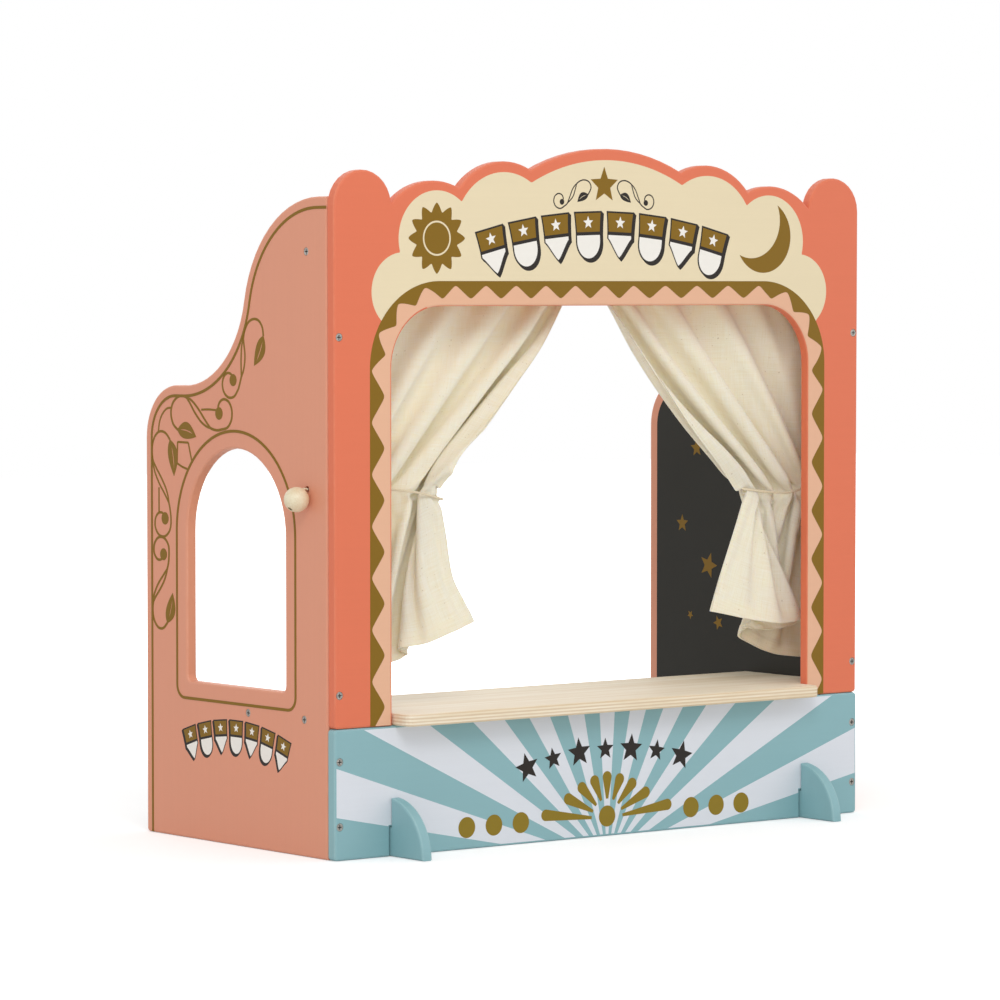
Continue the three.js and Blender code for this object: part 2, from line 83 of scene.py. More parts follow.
def makePiece(name, part, body, material, smooth=False, turnOut=True, uv=None):
    # an object at the origin from (points, faces) in millimetres, riding on its body
    points, faces = part
    mesh = bpy.data.meshes.new(name)
    mesh.from_pydata((np.asarray(points, float).reshape(-1, 3) * mm).tolist(), [], faces)
    if uv is not None:
        layer = mesh.uv_layers.new(name="UVMap")
        loopPoints = np.empty(len(mesh.loops), int)
        mesh.loops.foreach_get("vertex_index", loopPoints)
        layer.data.foreach_set("uv", np.asarray(uv, np.float32).reshape(-1, 2)[loopPoints].ravel())
    if turnOut:
        edit = bmesh.new()
        edit.from_mesh(mesh)
        bmesh.ops.recalc_face_normals(edit, faces=edit.faces)
        edit.to_mesh(mesh)
        edit.free()
    mesh.polygons.foreach_set("use_smooth", [smooth] * len(mesh.polygons))
    mesh.materials.append(material)
    mesh.update()
    piece = bpy.data.objects.new(name, mesh)
    bpy.context.scene.collection.objects.link(piece)
    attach(piece, body)
    return piece


# curves in a plane


def arc(centre, radius, start, end, steps=24):
    # points at even angles, in degrees, on a circle
    angle = np.radians(np.linspace(start, end, steps + 1))
    return np.stack([centre[0] + radius * np.cos(angle), centre[1] + radius * np.sin(angle)], -1)


def lengthsAlong(points):
    # length of a polyline up to each of its points
    return np.concatenate([[0], np.cumsum(np.linalg.norm(np.diff(points, axis=0), axis=1))])


def resample(points, count, closed=False):
    # points at even lengths along a polyline
    points = np.asarray(points, float)
    if closed:
        points = np.concatenate([points, points[:1]])
    along = lengthsAlong(points)
    at = np.linspace(0, along[-1], count + 1 if closed else count)
    even = np.stack([np.interp(at, along, points[:, i]) for i in range(points.shape[1])], -1)
    return even[:-1] if closed else even


def smoothCurve(knots, perSpan=12):
    # Catmull-Rom curve through the knots
    return smoothRows(knots, np.linspace(0, 1, (len(knots) - 1) * perSpan + 1))


def smoothRows(rows, share):
    # value at a share of the way along rows that stand at even steps, as a uniform Catmull-Rom
    rows = np.asarray(rows, float)
    spans = len(rows) - 1
    at = np.asarray(share, float) * spans
    start = np.clip(np.floor(at), 0, spans - 1).astype(int)
    t = (at - start).reshape(at.shape + (1,) * (rows.ndim - 1))
    a, b, c, d = [rows[np.clip(start + i, 0, spans)] for i in (-1, 0, 1, 2)]
    return b + t * (c - a + t * (2 * a - 5 * b + 4 * c - d + t * (3 * (b - c) + d - a))) / 2


def sideways(points):
    # unit normals to the left of an open polyline
    along = np.gradient(np.asarray(points, float), axis=0)
    along /= np.maximum(np.linalg.norm(along, axis=1, keepdims=True), 1e-9)
    return np.stack([-along[:, 1], along[:, 0]], -1)


def circlesMeet(first, second):
    # upper meeting point of two circles (x, z, radius)
    a, b = np.array(first[:2]), np.array(second[:2])
    gap = b - a
    distance = np.hypot(*gap)
    along = (distance ** 2 + first[2] ** 2 - second[2] ** 2) / (2 * distance)
    rise = math.sqrt(max(first[2] ** 2 - along ** 2, 0))
    gap /= distance
    options = [a + gap * along + rise * turn * np.array([-gap[1], gap[0]]) for turn in (1, -1)]
    return max(options, key=lambda p: p[1])


def polarRadii(outline, centre, angles):
    # distance from the centre to a closed outline, star-shaped about it, at the given angles
    dense = resample(outline, 4000, closed=True) - centre
    angle = np.arctan2(dense[:, 1], dense[:, 0])
    return np.interp(angles, angle[np.argsort(angle)],
                     np.hypot(*dense.T)[np.argsort(angle)], period=2 * math.pi)


# thin coats of paint, as closed plates on a board's face

coat = {"lowest": 0.05, "first": 0.07, "second": 0.12, "border": 0.26}  # heights over the board


def onFront(points, height):
    # x and z at a height over the front face, as x, y and z
    points = np.asarray(points, float)
    return np.stack([points[..., 0], np.full(points.shape[:-1], frontY - height),
                     points[..., 1]], -1)


def onWall(x, outwards):
    # face of a wall at x, whose outside points along outwards, -1 or 1
    def place(points, height):
        points = np.asarray(points, float)
        return np.stack([np.full(points.shape[:-1], x + outwards * height),
                         points[..., 0] + frontY, points[..., 1]], -1)
    return place


wallFaces = {
    "leftOut": onWall(-270, -1),
    "leftIn": onWall(-260.5, 1),
    "rightIn": onWall(260.5, -1),
    "rightOut": onWall(270, 1),
}


def plateBetween(lower, upper, place, height, closed=False):
    # plate ruled between two curves: a four-cornered section carried along them
    under = -coat["lowest"]
    section = np.stack([place(lower, under), place(upper, under),
                        place(upper, height), place(lower, height)], 1)
    faces = gridQuads(len(section), 4, closed, True)
    if not closed:
        last = 4 * (len(section) - 1)
        faces += [[0, 1, 2, 3], [last + 3, last + 2, last + 1, last]]
    return section, faces


def plateAround(centre, outline, place, height):
    # plate from a centre out to a closed outline: two fans joined by a rim
    count = len(outline)
    under = -coat["lowest"]
    points = np.concatenate([place(outline, height), place(outline, under),
                             place([centre], height), place([centre], under)])
    i = np.arange(count)
    j = (i + 1) % count
    rim = np.stack([i, j, j + count, i + count], -1).tolist()
    top = np.stack([np.full(count, 2 * count), i, j], -1).tolist()
    bottom = np.stack([np.full(count, 2 * count + 1), j + count, i + count], -1).tolist()
    return points, rim + top + bottom


def ringPlate(centre, inner, outer, place, height):
    # plate between a hole and an outer outline, both star-shaped about the centre
    centre = np.asarray(centre, float)
    angles = np.concatenate([np.arctan2(*(np.asarray(o) - centre).T[::-1]) for o in (inner, outer)])
    angles = np.unique(np.round(angles, 5))
    turn = np.stack([np.cos(angles), np.sin(angles)], -1)
    inside = centre + turn * polarRadii(inner, centre, angles)[:, None]
    outside = centre + turn * polarRadii(outer, centre, angles)[:, None]
    return plateBetween(inside, outside, place, height, closed=True)


def stroke(points, width, place, height):
    # painted line: a flat section carried along a curve, as wide as width says there
    points = np.asarray(points, float)
    aside = sideways(points) * (np.broadcast_to(width, len(points)) / 2)[:, None]
    return plateBetween(points - aside, points + aside, place, height)


def circle(centre, radius, steps=40):
    # points round a closed circle, the first not repeated
    return arc(centre, radius, 0, 360, steps)[:-1]


def disc(centre, radius, place, height, steps=40):
    # a plate fanned out from the centre of a circle
    return plateAround(centre, circle(centre, radius, steps), place, height)


def triangleWave(angle, sharpness=0.93):
    # from -1 to 1 with round tips: the arcsine of a slightly shrunk cosine
    return np.arcsin(sharpness * np.cos(angle)) / math.asin(sharpness)


def fanOut(row, i):
    # the middle and the tilt of one of a row of ornaments, at even steps along an arc
    tilt = math.radians((i / (row["count"] - 1) * 2 - 1) * row["spread"])
    along = np.array([math.sin(tilt), math.cos(tilt) - 1])
    return np.array(row["centre"]) + row["radius"] * along, tilt


def star(centre, radius, place, height, waist=0.44, tips=5, turn=90):
    # radius goes back and forth between the tips and the waist
    angle = np.radians(turn + np.arange(2 * tips) * 180 / tips)
    reach = np.where(np.arange(2 * tips) % 2 == 0, radius, radius * waist)
    outline = np.stack([centre[0] + reach * np.cos(angle), centre[1] + reach * np.sin(angle)], -1)
    return plateAround(centre, outline, place, height)


def leaf(base, tip, width, place, height, bend=0.15, vein=0.7):
    # two halves of a pointed oval with a bare vein between them, bowed to one side
    base, tip = np.asarray(base, float), np.asarray(tip, float)
    along = tip - base
    aside = np.array([-along[1], along[0]]) / np.hypot(*along)
    t = np.linspace(0, 1, 25)[:, None]
    middle = base + along * t + aside * (bend * np.hypot(*along) * np.sin(math.pi * t))
    swell = width / 2 * np.sin(math.pi * np.clip(t, 0.01, 0.99) ** 0.8) ** 0.9
    opened = np.clip((t - 0.12) / 0.2, 0, 1) * np.clip((0.85 - t) / 0.2, 0, 1)
    gap = np.minimum(vein / 2 * opened, swell * 0.6)
    return [plateBetween(middle + aside * (gap - 0.01) * side, middle + aside * swell * side,
                         place, height + 0.01 * side) for side in (-1, 1)]


def spiral(centre, radius, start, turns, shrink=0.6, steps=60):
    # the radius falls ever faster while the angle goes round, from outside to inside
    share = np.linspace(0, 1, steps)
    angle = np.radians(start) + share * turns * 2 * math.pi
    reach = radius * (1 - shrink * share ** 1.7)
    return np.array(centre) + np.stack([np.cos(angle), np.sin(angle)], -1) * reach[:, None]


def scrollWork(scroll, width, place, height, mirror=1, shift=0.0):
    # a stem from a leaf's foot through its knots into a curl that ends in a dot; for a part of
    # its length the stem is split into two strands that bow apart
    turned = lambda points: np.asarray(points, float) * [mirror, 1] + [shift, 0]
    curl = spiral(*scroll["curl"])
    line = smoothCurve(np.concatenate([scroll["knots"], curl[::7], curl[-1:]]), 10)
    line = resample(line, int(lengthsAlong(line)[-1] / (0.45 * width)))
    share = lengthsAlong(line) / lengthsAlong(line)[-1]
    first, last = [int(np.argmin(np.hypot(*(line - spot).T))) for spot in scroll["lens"]]
    split = slice(first, last + 1)
    bow = scroll["bow"] * np.sin(math.pi * np.linspace(0, 1, last - first + 1)) ** 0.8
    aside = sideways(line)[split] * bow[:, None]
    parts = [stroke(turned(line[:first + 2]), width, place, height),
             stroke(turned(line[last - 1:]), width, place, height),
             stroke(turned(line[split] + aside), width * 0.9, place, height + 0.012),
             stroke(turned(line[split] - aside), width * 0.9, place, height + 0.024),
             disc(turned(curl[-1]), scroll["dot"], place, height + 0.036, 28)]
    base, tip = scroll["knots"][0], scroll["tip"]
    return parts + leaf(turned(base), turned(tip), scroll["leafWidth"], place, height + 0.05,
                        bend=scroll["bend"] * mirror, vein=width * 0.45)


# material helpers and shared effects


def addNode(tree, kind, values=None, **settings):
    # a node with its sockets' values, by name or number, and its own settings
    node = tree.nodes.new(kind)
    for name, value in settings.items():
        setattr(node, name, value)
    for name, value in (values or {}).items():
        node.inputs[name].default_value = value
    return node


def wire(tree, *pairs):
    # a link for each pair of an output and an input
    for source, target in pairs:
        tree.links.new(source, target)


def feed(tree, sockets, values):
    # each socket is linked to an output, or given a plain value
    for socket, value in zip(sockets, values):
        if isinstance(value, bpy.types.NodeSocket):
            tree.links.new(value, socket)
        elif value is not None:
            socket.default_value = value


def objectSpot(tree):
    # the place on the piece, in metres
    return addNode(tree, "ShaderNodeTexCoord").outputs["Object"]


def maths(tree, operation, first, second=None, clamp=False):
    # one sum of two outputs or numbers
    node = addNode(tree, "ShaderNodeMath", operation=operation, use_clamp=clamp)
    feed(tree, node.inputs, (first, second))
    return node.outputs[0]


def mixColours(tree, factor, first, second):
    # from the first colour to the second as the factor goes from 0 to 1
    node = addNode(tree, "ShaderNodeMix", data_type="RGBA")
    feed(tree, (node.inputs[0], node.inputs[6], node.inputs[7]), (factor, first, second))
    return node.outputs[2]


def rangeTo(tree, value, low, high, newLow=0.0, newHigh=1.0):
    # low to high becomes newLow to newHigh, in a straight line and held at the ends
    node = addNode(tree, "ShaderNodeMapRange", {1: low, 2: high, 3: newLow, 4: newHigh})
    tree.links.new(value, node.inputs[0])
    return node.outputs[0]


def linear(red, green, blue):
    # colour written as it shows on a screen, from 0 to 255
    parts = np.array([red, green, blue]) / 255
    even = np.where(parts <= 0.04045, parts / 12.92, ((parts + 0.055) / 1.055) ** 2.4)
    return (*even.tolist(), 1.0)


def newGroup(name, inputs, outputs):
    # a node group with named sockets, and the nodes that stand for them inside it
    tree = bpy.data.node_groups.new(name, "ShaderNodeTree")
    for socketName, kind, value in inputs:
        socket = tree.interface.new_socket(socketName, in_out="INPUT", socket_type=kind)
        if value is not None:
            socket.default_value = value
    for socketName, kind in outputs:
        tree.interface.new_socket(socketName, in_out="OUTPUT", socket_type=kind)
    return tree, tree.nodes.new("NodeGroupInput"), tree.nodes.new("NodeGroupOutput")


def useGroup(tree, group, values):
    # a shared effect, placed in a material with that material's own values
    node = tree.nodes.new("ShaderNodeGroup")
    node.node_tree = group
    feed(tree, [node.inputs[name] for name in values], values.values())
    return node


colour, number, vector = "NodeSocketColor", "NodeSocketFloat", "NodeSocketVector"


def makePaintCoat():
    # rolled paint: a soft drift of tone, faint wood grain under it and fine orange peel
    tree, given, out = newGroup("rolledPaint", [
        ("Paint", colour, None), ("Drift", number, 0.03), ("Grain Direction", vector, (1, 1, 1)),
    ], [("Color", colour), ("Roughness", number), ("Height", number)])
    spot = objectSpot(tree)
    drift = addNode(tree, "ShaderNodeTexNoise", {"Scale": 7.0, "Detail": 3.0})
    peel = addNode(tree, "ShaderNodeTexNoise", {"Scale": 650.0, "Detail": 2.0})
    stretched = addNode(tree, "ShaderNodeVectorMath", operation="MULTIPLY")
    grain = addNode(tree, "ShaderNodeTexNoise", {"Scale": 1.0, "Detail": 4.0, "Roughness": 0.6})
    wire(tree, (spot, drift.inputs["Vector"]), (spot, peel.inputs["Vector"]),
         (spot, stretched.inputs[0]), (given.outputs["Grain Direction"], stretched.inputs[1]),
         (stretched.outputs[0], grain.inputs["Vector"]))
    tone = maths(tree, "ADD", maths(tree, "SUBTRACT", drift.outputs[0], 0.5),
                 maths(tree, "MULTIPLY", maths(tree, "SUBTRACT", grain.outputs[0], 0.5), 0.7))
    tone = maths(tree, "ADD", maths(tree, "MULTIPLY", tone, given.outputs["Drift"]), 1.0)
    toned = addNode(tree, "ShaderNodeVectorMath", operation="SCALE")
    wire(tree, (given.outputs["Paint"], toned.inputs[0]), (tone, toned.inputs["Scale"]),
         (toned.outputs[0], out.inputs["Color"]),
         (rangeTo(tree, drift.outputs[0], 0.3, 0.7, 0.42, 0.52), out.inputs["Roughness"]),
         (maths(tree, "ADD", maths(tree, "MULTIPLY", grain.outputs[0], 0.6),
                maths(tree, "MULTIPLY", peel.outputs[0], 0.4)), out.inputs["Height"]))
    return tree


def makeEdgeHighlight():
    # painted highlight: where the rounding of a board's edge turns away from its face, the paint is
    # drawn lighter, in patches
    tree, given, out = newGroup("edgeHighlight", [
        ("Color", colour, None), ("Highlight", colour, None), ("Amount", number, 0.4),
        ("Face Direction", vector, (0, 1, 0)),
    ], [("Color", colour), ("Mask", number)])
    facing = addNode(tree, "ShaderNodeVectorMath", operation="DOT_PRODUCT")
    wire(tree, (addNode(tree, "ShaderNodeNewGeometry").outputs["True Normal"], facing.inputs[0]),
         (given.outputs["Face Direction"], facing.inputs[1]))
    slope = maths(tree, "ABSOLUTE", facing.outputs["Value"])
    rounding = maths(tree, "SUBTRACT", 1.0, maths(tree, "ABSOLUTE", maths(
        tree, "SUBTRACT", maths(tree, "MULTIPLY", slope, 2.0), 1.0)))
    patches = addNode(tree, "ShaderNodeTexNoise", {"Scale": 60.0, "Detail": 5.0, "Roughness": 0.7})
    wire(tree, (objectSpot(tree), patches.inputs["Vector"]))
    mask = maths(tree, "MULTIPLY", rangeTo(tree, rounding, 0.05, 0.5),
                 rangeTo(tree, patches.outputs[0], 0.35, 0.65, 0.25, 1.0))
    mask = maths(tree, "MULTIPLY", mask, given.outputs["Amount"], clamp=True)
    wire(tree, (mixColours(tree, mask, given.outputs["Color"], given.outputs["Highlight"]),
                out.inputs["Color"]), (mask, out.inputs["Mask"]))
    return tree


def makeWoodFigure():
    # pale close-grained wood: broad soft bands and short fine pores along the grain
    tree, given, out = newGroup("paleWood", [
        ("Pale", colour, None), ("Dark", colour, None), ("Stretch", vector, (1, 1, 1)),
    ], [("Color", colour), ("Height", number)])
    spot = objectSpot(tree)
    stretched = addNode(tree, "ShaderNodeVectorMath", operation="MULTIPLY")
    bands = addNode(tree, "ShaderNodeTexNoise", {"Scale": 1.0, "Detail": 3.0, "Distortion": 0.6})
    fine = addNode(tree, "ShaderNodeTexNoise", {"Scale": 9.0, "Detail": 5.0, "Roughness": 0.65})
    wire(tree, (spot, stretched.inputs[0]), (given.outputs["Stretch"], stretched.inputs[1]),
         (stretched.outputs[0], bands.inputs["Vector"]), (stretched.outputs[0], fine.inputs["Vector"]))
    broad = rangeTo(tree, bands.outputs[0], 0.35, 0.65)
    short = rangeTo(tree, fine.outputs[0], 0.4, 0.75)
    mask = maths(tree, "ADD", maths(tree, "MULTIPLY", broad, 0.5),
                 maths(tree, "MULTIPLY", short, 0.5), clamp=True)
    wire(tree, (mixColours(tree, mask, given.outputs["Pale"], given.outputs["Dark"]),
                out.inputs["Color"]), (mask, out.inputs["Height"]))
    return tree


def makeYarns():
    # plain weave on a UV map in metres: crossing yarns with slubs, and seed flecks
    tree, given, out = newGroup("plainWeave", [
        ("Yarns per Metre", number, 1500.0), ("Slub", number, 0.5),
    ], [("Tone", number), ("Fleck", number), ("Height", number)])
    uv = addNode(tree, "ShaderNodeUVMap", uv_map="UVMap").outputs[0]
    split = addNode(tree, "ShaderNodeSeparateXYZ")
    wire(tree, (uv, split.inputs[0]))
    turns = maths(tree, "MULTIPLY", given.outputs["Yarns per Metre"], math.pi)
    across = maths(tree, "SINE", maths(tree, "MULTIPLY", split.outputs[0], turns))
    down = maths(tree, "SINE", maths(tree, "MULTIPLY", split.outputs[1], turns))
    weave = maths(tree, "MULTIPLY", across, down)
    slubs = []
    for stretch in ((1300, 45, 1), (45, 1300, 1)):
        stretched = addNode(tree, "ShaderNodeVectorMath", {1: stretch}, operation="MULTIPLY")
        noise = addNode(tree, "ShaderNodeTexNoise", {"Scale": 1.0, "Detail": 3.0})
        wire(tree, (uv, stretched.inputs[0]), (stretched.outputs[0], noise.inputs["Vector"]))
        slubs.append(maths(tree, "SUBTRACT", noise.outputs[0], 0.5))
    slub = maths(tree, "MULTIPLY", maths(tree, "ADD", *slubs), given.outputs["Slub"])
    flecks = addNode(tree, "ShaderNodeTexNoise", {"Scale": 420.0, "Detail": 1.0})
    wire(tree, (uv, flecks.inputs["Vector"]))
    wire(tree, (slub, out.inputs["Tone"]),
         (rangeTo(tree, flecks.outputs[0], 0.72, 0.78), out.inputs["Fleck"]),
         (maths(tree, "ADD", maths(tree, "MULTIPLY", weave, 0.5), slub), out.inputs["Height"]))
    return tree


paintCoat, edgeHighlight = makePaintCoat(), makeEdgeHighlight()
woodFigure, yarns = makeWoodFigure(), makeYarns()


def newMaterial(name, **sockets):
    # a material, its tree and its shader, whose sockets are named with _ for each space
    material = bpy.data.materials.new(name)
    material.use_nodes = True
    tree = material.node_tree
    shader = tree.nodes["Principled BSDF"]
    for socketName, value in sockets.items():
        shader.inputs[socketName.replace("_", " ")].default_value = value
    return material, tree, shader


def bump(tree, shader, height, strength, distance):
    # a height over the surface, in metres, tilts the shader's normal
    node = addNode(tree, "ShaderNodeBump", {"Strength": strength, "Distance": distance})
    wire(tree, (height, node.inputs["Height"]), (node.outputs[0], shader.inputs["Normal"]))


paints = {
    "coral": (228, 117, 81),
    # each board's lighter second colour is a painted highlight for its rounded edges
    "coralHighlight": (240, 150, 118),
    "salmon": (226, 153, 123),
    "salmonHighlight": (238, 180, 152),
    "peach": (233, 182, 149),
    "gold": (133, 99, 6),
    "fanGold": (143, 119, 26),
    "cream": (235, 219, 183),
    "blue": (140, 183, 189),
    "blueHighlight": (168, 202, 205),
    "paleBlue": (225, 229, 236),
    "charcoal": (39, 37, 30),
    "ink": (41, 35, 31),
    "white": (244, 240, 232),
}
# of printed colours; the others have plainShine
shine = {"gold": 0.3, "fanGold": 0.3, "charcoal": 0.25, "ink": 0.25}
plainShine = 0.4
grainUp, grainAcross = (420, 420, 9), (9, 420, 420)  # how tightly the grain is drawn along x, y and z


def paintedBoard(name, paint, highlight, faceDirection, grain, artwork=None):
    # rolled paint on a board with a painted highlight along its rounded edges; artwork may change the
    # paint's colour first
    material, tree, shader = newMaterial(name, Roughness=0.45)
    base = artwork(tree) if artwork else linear(*paints[paint])
    painted = useGroup(tree, paintCoat, {"Paint": base, "Drift": 0.05, "Grain Direction": grain})
    # painted highlight along the board's rounded edges
    edgeLit = useGroup(tree, edgeHighlight, {
        "Color": painted.outputs["Color"], "Highlight": linear(*paints[highlight]),
        "Amount": 0.45, "Face Direction": faceDirection})
    wire(tree, (edgeLit.outputs["Color"], shader.inputs["Base Color"]),
         (painted.outputs["Roughness"], shader.inputs["Roughness"]))
    bump(tree, shader, painted.outputs["Height"], 0.25, 0.0004)
    return material


def printedPaint(name, paint, grain):
    # printed colour over the board's own paint: even, with the same faint grain, darks duller
    material, tree, shader = newMaterial(name, Roughness=0.45,
                                         Specular_IOR_Level=shine.get(paint, plainShine))
    painted = useGroup(tree, paintCoat, {
        "Paint": linear(*paints[paint]), "Drift": 0.06, "Grain Direction": grain})
    wire(tree, (painted.outputs["Color"], shader.inputs["Base Color"]),
         (painted.outputs["Roughness"], shader.inputs["Roughness"]))
    bump(tree, shader, painted.outputs["Height"], 0.2, 0.0003)
    return material


rays = {"centreZ": -20, "width": 7.5, "skin": 0.02}  # the lower board's stripes: mm, degrees, mm


def paintRays(tree):
    # angle about a point below the board, cut into even stripes; only on the front face
    split = addNode(tree, "ShaderNodeSeparateXYZ")
    wire(tree, (objectSpot(tree), split.inputs[0]))
    angle = maths(tree, "ARCTAN2", split.outputs[0],
                  maths(tree, "SUBTRACT", split.outputs[2], rays["centreZ"] * mm))
    pale = maths(tree, "COSINE", maths(tree, "MULTIPLY", maths(
        tree, "DIVIDE", angle, math.radians(rays["width"])), math.pi))
    pale = maths(tree, "GREATER_THAN", pale, 0.0)
    front = maths(tree, "LESS_THAN", split.outputs[1], (frontY + rays["skin"]) * mm)
    return mixColours(tree, maths(tree, "MULTIPLY", pale, front),
                      linear(*paints["blue"]), linear(*paints["paleBlue"]))


alongY, alongX = (0, 1, 0), (1, 0, 0)  # the ways that a board's two faces look
coralBoard = paintedBoard("coralBoard", "coral", "coralHighlight", alongY, grainAcross)
rayBoard = paintedBoard("rayBoard", "blue", "blueHighlight", alongY, grainAcross, paintRays)
salmonBoard = paintedBoard("salmonBoard", "salmon", "salmonHighlight", alongX, grainUp)
blueFoot = paintedBoard("blueFoot", "blue", "blueHighlight", alongX, grainUp)
print("painted boards ready")


woods = {"shelfPale": (252, 241, 220), "shelfDark": (229, 207, 170), "shelfStretch": (3, 90, 90),
         "ply": (206, 172, 126), "plyStep": 2.6,
         "turnedPale": (242, 232, 203), "turnedDark": (224, 202, 161)}
# the darkest steel colour is painted shade for the screws' cross recesses and the gaps round their
# heads
steels = {"bright": (192, 190, 184), "dull": (138, 134, 128), "recessShade": (34, 31, 28)}
# the warm tan and the two numbers after it: painted shade that stands for the header's shadow on the
# cloth, how far below the seam, in metres, it reaches, and how much of it there is at most; yarns: in
# a metre
cottons = {"thin": (239, 225, 193), "thick": (251, 245, 229), "fleck": (176, 146, 100),
           "paintedShade": (246, 214, 172), "paintedShadeDown": 0.062, "paintedShadeMost": 0.6, "yarns": 1600.0,
           "cordDark": (216, 196, 156), "cordPale": (246, 236, 212), "cordYarns": 2600.0}


def makeShelfWood():
    # birch plywood: figure along the stage on its faces, five plies on its edges
    material, tree, shader = newMaterial("birchPly", Roughness=0.5)
    figure = useGroup(tree, woodFigure, {
        "Pale": linear(*woods["shelfPale"]), "Dark": linear(*woods["shelfDark"]),
        "Stretch": woods["shelfStretch"]})
    split = addNode(tree, "ShaderNodeSeparateXYZ")
    turned = addNode(tree, "ShaderNodeSeparateXYZ")
    wire(tree, (objectSpot(tree), split.inputs[0]),
         (addNode(tree, "ShaderNodeNewGeometry").outputs["True Normal"], turned.inputs[0]))
    ply = maths(tree, "SINE", maths(tree, "MULTIPLY", split.outputs[2],
                                    2 * math.pi / (woods["plyStep"] * mm)))
    edge = maths(tree, "LESS_THAN", maths(tree, "ABSOLUTE", turned.outputs[2]), 0.8)
    dark = maths(tree, "MULTIPLY", rangeTo(tree, ply, -0.4, 0.6, 0.0, 0.55), edge)
    wire(tree, (mixColours(tree, dark, figure.outputs["Color"], linear(*woods["ply"])),
                shader.inputs["Base Color"]))
    bump(tree, shader, figure.outputs["Height"], 0.2, 0.0003)
    return material


def makeTurnedWood(name, stretch):
    # pale turned wood, its figure stretched along the piece
    material, tree, shader = newMaterial(name, Roughness=0.42)
    figure = useGroup(tree, woodFigure, {
        "Pale": linear(*woods["turnedPale"]), "Dark": linear(*woods["turnedDark"]),
        "Stretch": stretch})
    wire(tree, (figure.outputs["Color"], shader.inputs["Base Color"]))
    bump(tree, shader, figure.outputs["Height"], 0.15, 0.0002)
    return material


def makeScrewSteel():
    # bright zinc with a brushed, slightly mottled surface
    material, tree, shader = newMaterial("zincScrew", Metallic=1.0, Roughness=0.32)
    spots = addNode(tree, "ShaderNodeTexNoise", {"Scale": 900.0, "Detail": 3.0})
    wire(tree, (objectSpot(tree), spots.inputs["Vector"]),
         (mixColours(tree, rangeTo(tree, spots.outputs[0], 0.35, 0.7), linear(*steels["bright"]),
                     linear(*steels["dull"])), shader.inputs["Base Color"]),
         (rangeTo(tree, spots.outputs[0], 0.3, 0.7, 0.24, 0.42), shader.inputs["Roughness"]))
    bump(tree, shader, spots.outputs[0], 0.2, 0.0002)
    return material


def makeCalico():
    # unbleached cotton: slubby plain weave, seed flecks and a soft sheen; painted shade makes it
    # browner towards the rod, where the header shades it
    material, tree, shader = newMaterial(
        "calico", Roughness=0.9, Sheen_Weight=0.3, Sheen_Roughness=0.5, Subsurface_Weight=0.4,
        Subsurface_Radius=(0.004, 0.003, 0.0018), Subsurface_Scale=1.0)
    weave = useGroup(tree, yarns, {"Yarns per Metre": cottons["yarns"], "Slub": 1.1})
    tone = maths(tree, "ADD", weave.outputs["Tone"], 0.5, clamp=True)
    plain = mixColours(tree, tone, linear(*cottons["thin"]), linear(*cottons["thick"]))
    split = addNode(tree, "ShaderNodeSeparateXYZ")
    wire(tree, (addNode(tree, "ShaderNodeUVMap", uv_map="UVMap").outputs[0], split.inputs[0]))
    # painted shade: below the seam the sheet is mixed towards warm tan, standing for the header's
    # shadow
    high = rangeTo(tree, maths(tree, "ABSOLUTE", split.outputs[1]),
                   cottons["paintedShadeDown"], 0.0, 0.0, cottons["paintedShadeMost"])
    paintedShade = mixColours(tree, high, plain, linear(*cottons["paintedShade"]))
    speckled = mixColours(tree, maths(tree, "MULTIPLY", weave.outputs["Fleck"], 0.5),
                          paintedShade, linear(*cottons["fleck"]))
    wire(tree, (speckled, shader.inputs["Base Color"]))
    bump(tree, shader, weave.outputs["Height"], 0.3, 0.0003)
    return material


def makeCordCotton():
    # spun cotton: fibre tone along each strand, on a UV map along and round the cord
    material, tree, shader = newMaterial("cottonCord", Roughness=0.88, Sheen_Weight=0.3)
    weave = useGroup(tree, yarns, {"Yarns per Metre": cottons["cordYarns"], "Slub": 0.8})
    tone = maths(tree, "ADD", weave.outputs["Tone"], 0.5, clamp=True)
    wire(tree, (mixColours(tree, tone, linear(*cottons["cordDark"]), linear(*cottons["cordPale"])),
                shader.inputs["Base Color"]))
    bump(tree, shader, weave.outputs["Height"], 0.35, 0.0002)
    return material


shelfWood = makeShelfWood()
rodWood = makeTurnedWood("rodWood", (3, 110, 110))
beadWood = makeTurnedWood("beadWood", (120, 30, 120))
screwSteel, calico, cordCotton = makeScrewSteel(), makeCalico(), makeCordCotton()
# painted shade for the screws' cross recesses and the gaps round their heads
recessShadeSteel = newMaterial("recessShadeSteel", Base_Color=linear(*steels["recessShade"]), Metallic=0.4,
                          Roughness=0.6)[0]
printed = {name: printedPaint(name + "Print", name, grainAcross)
           for name in ("gold", "fanGold", "peach", "cream", "ink", "white", "charcoal")}

boardMaterials = {
    "front_panel": coralBoard, "base_panel": rayBoard, "left_wall": salmonBoard,
    "right_wall": salmonBoard, "stage_shelf": shelfWood, "left_foot": blueFoot,
    "right_foot": blueFoot, "curtain_rod": rodWood,
}
for name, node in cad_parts.items():
    node.data.materials.clear()
    node.data.materials.append(screwSteel if "screw" in name else boardMaterials.get(name, calico))
print("materials placed on the frame's nodes")


# header: cream field, zigzag band, sun, moon, star and scrolls

opening = {"halfWidth": 215, "top": 424.5, "corner": 48, "bottom": 101.8, "steps": (260, 110, 210)}
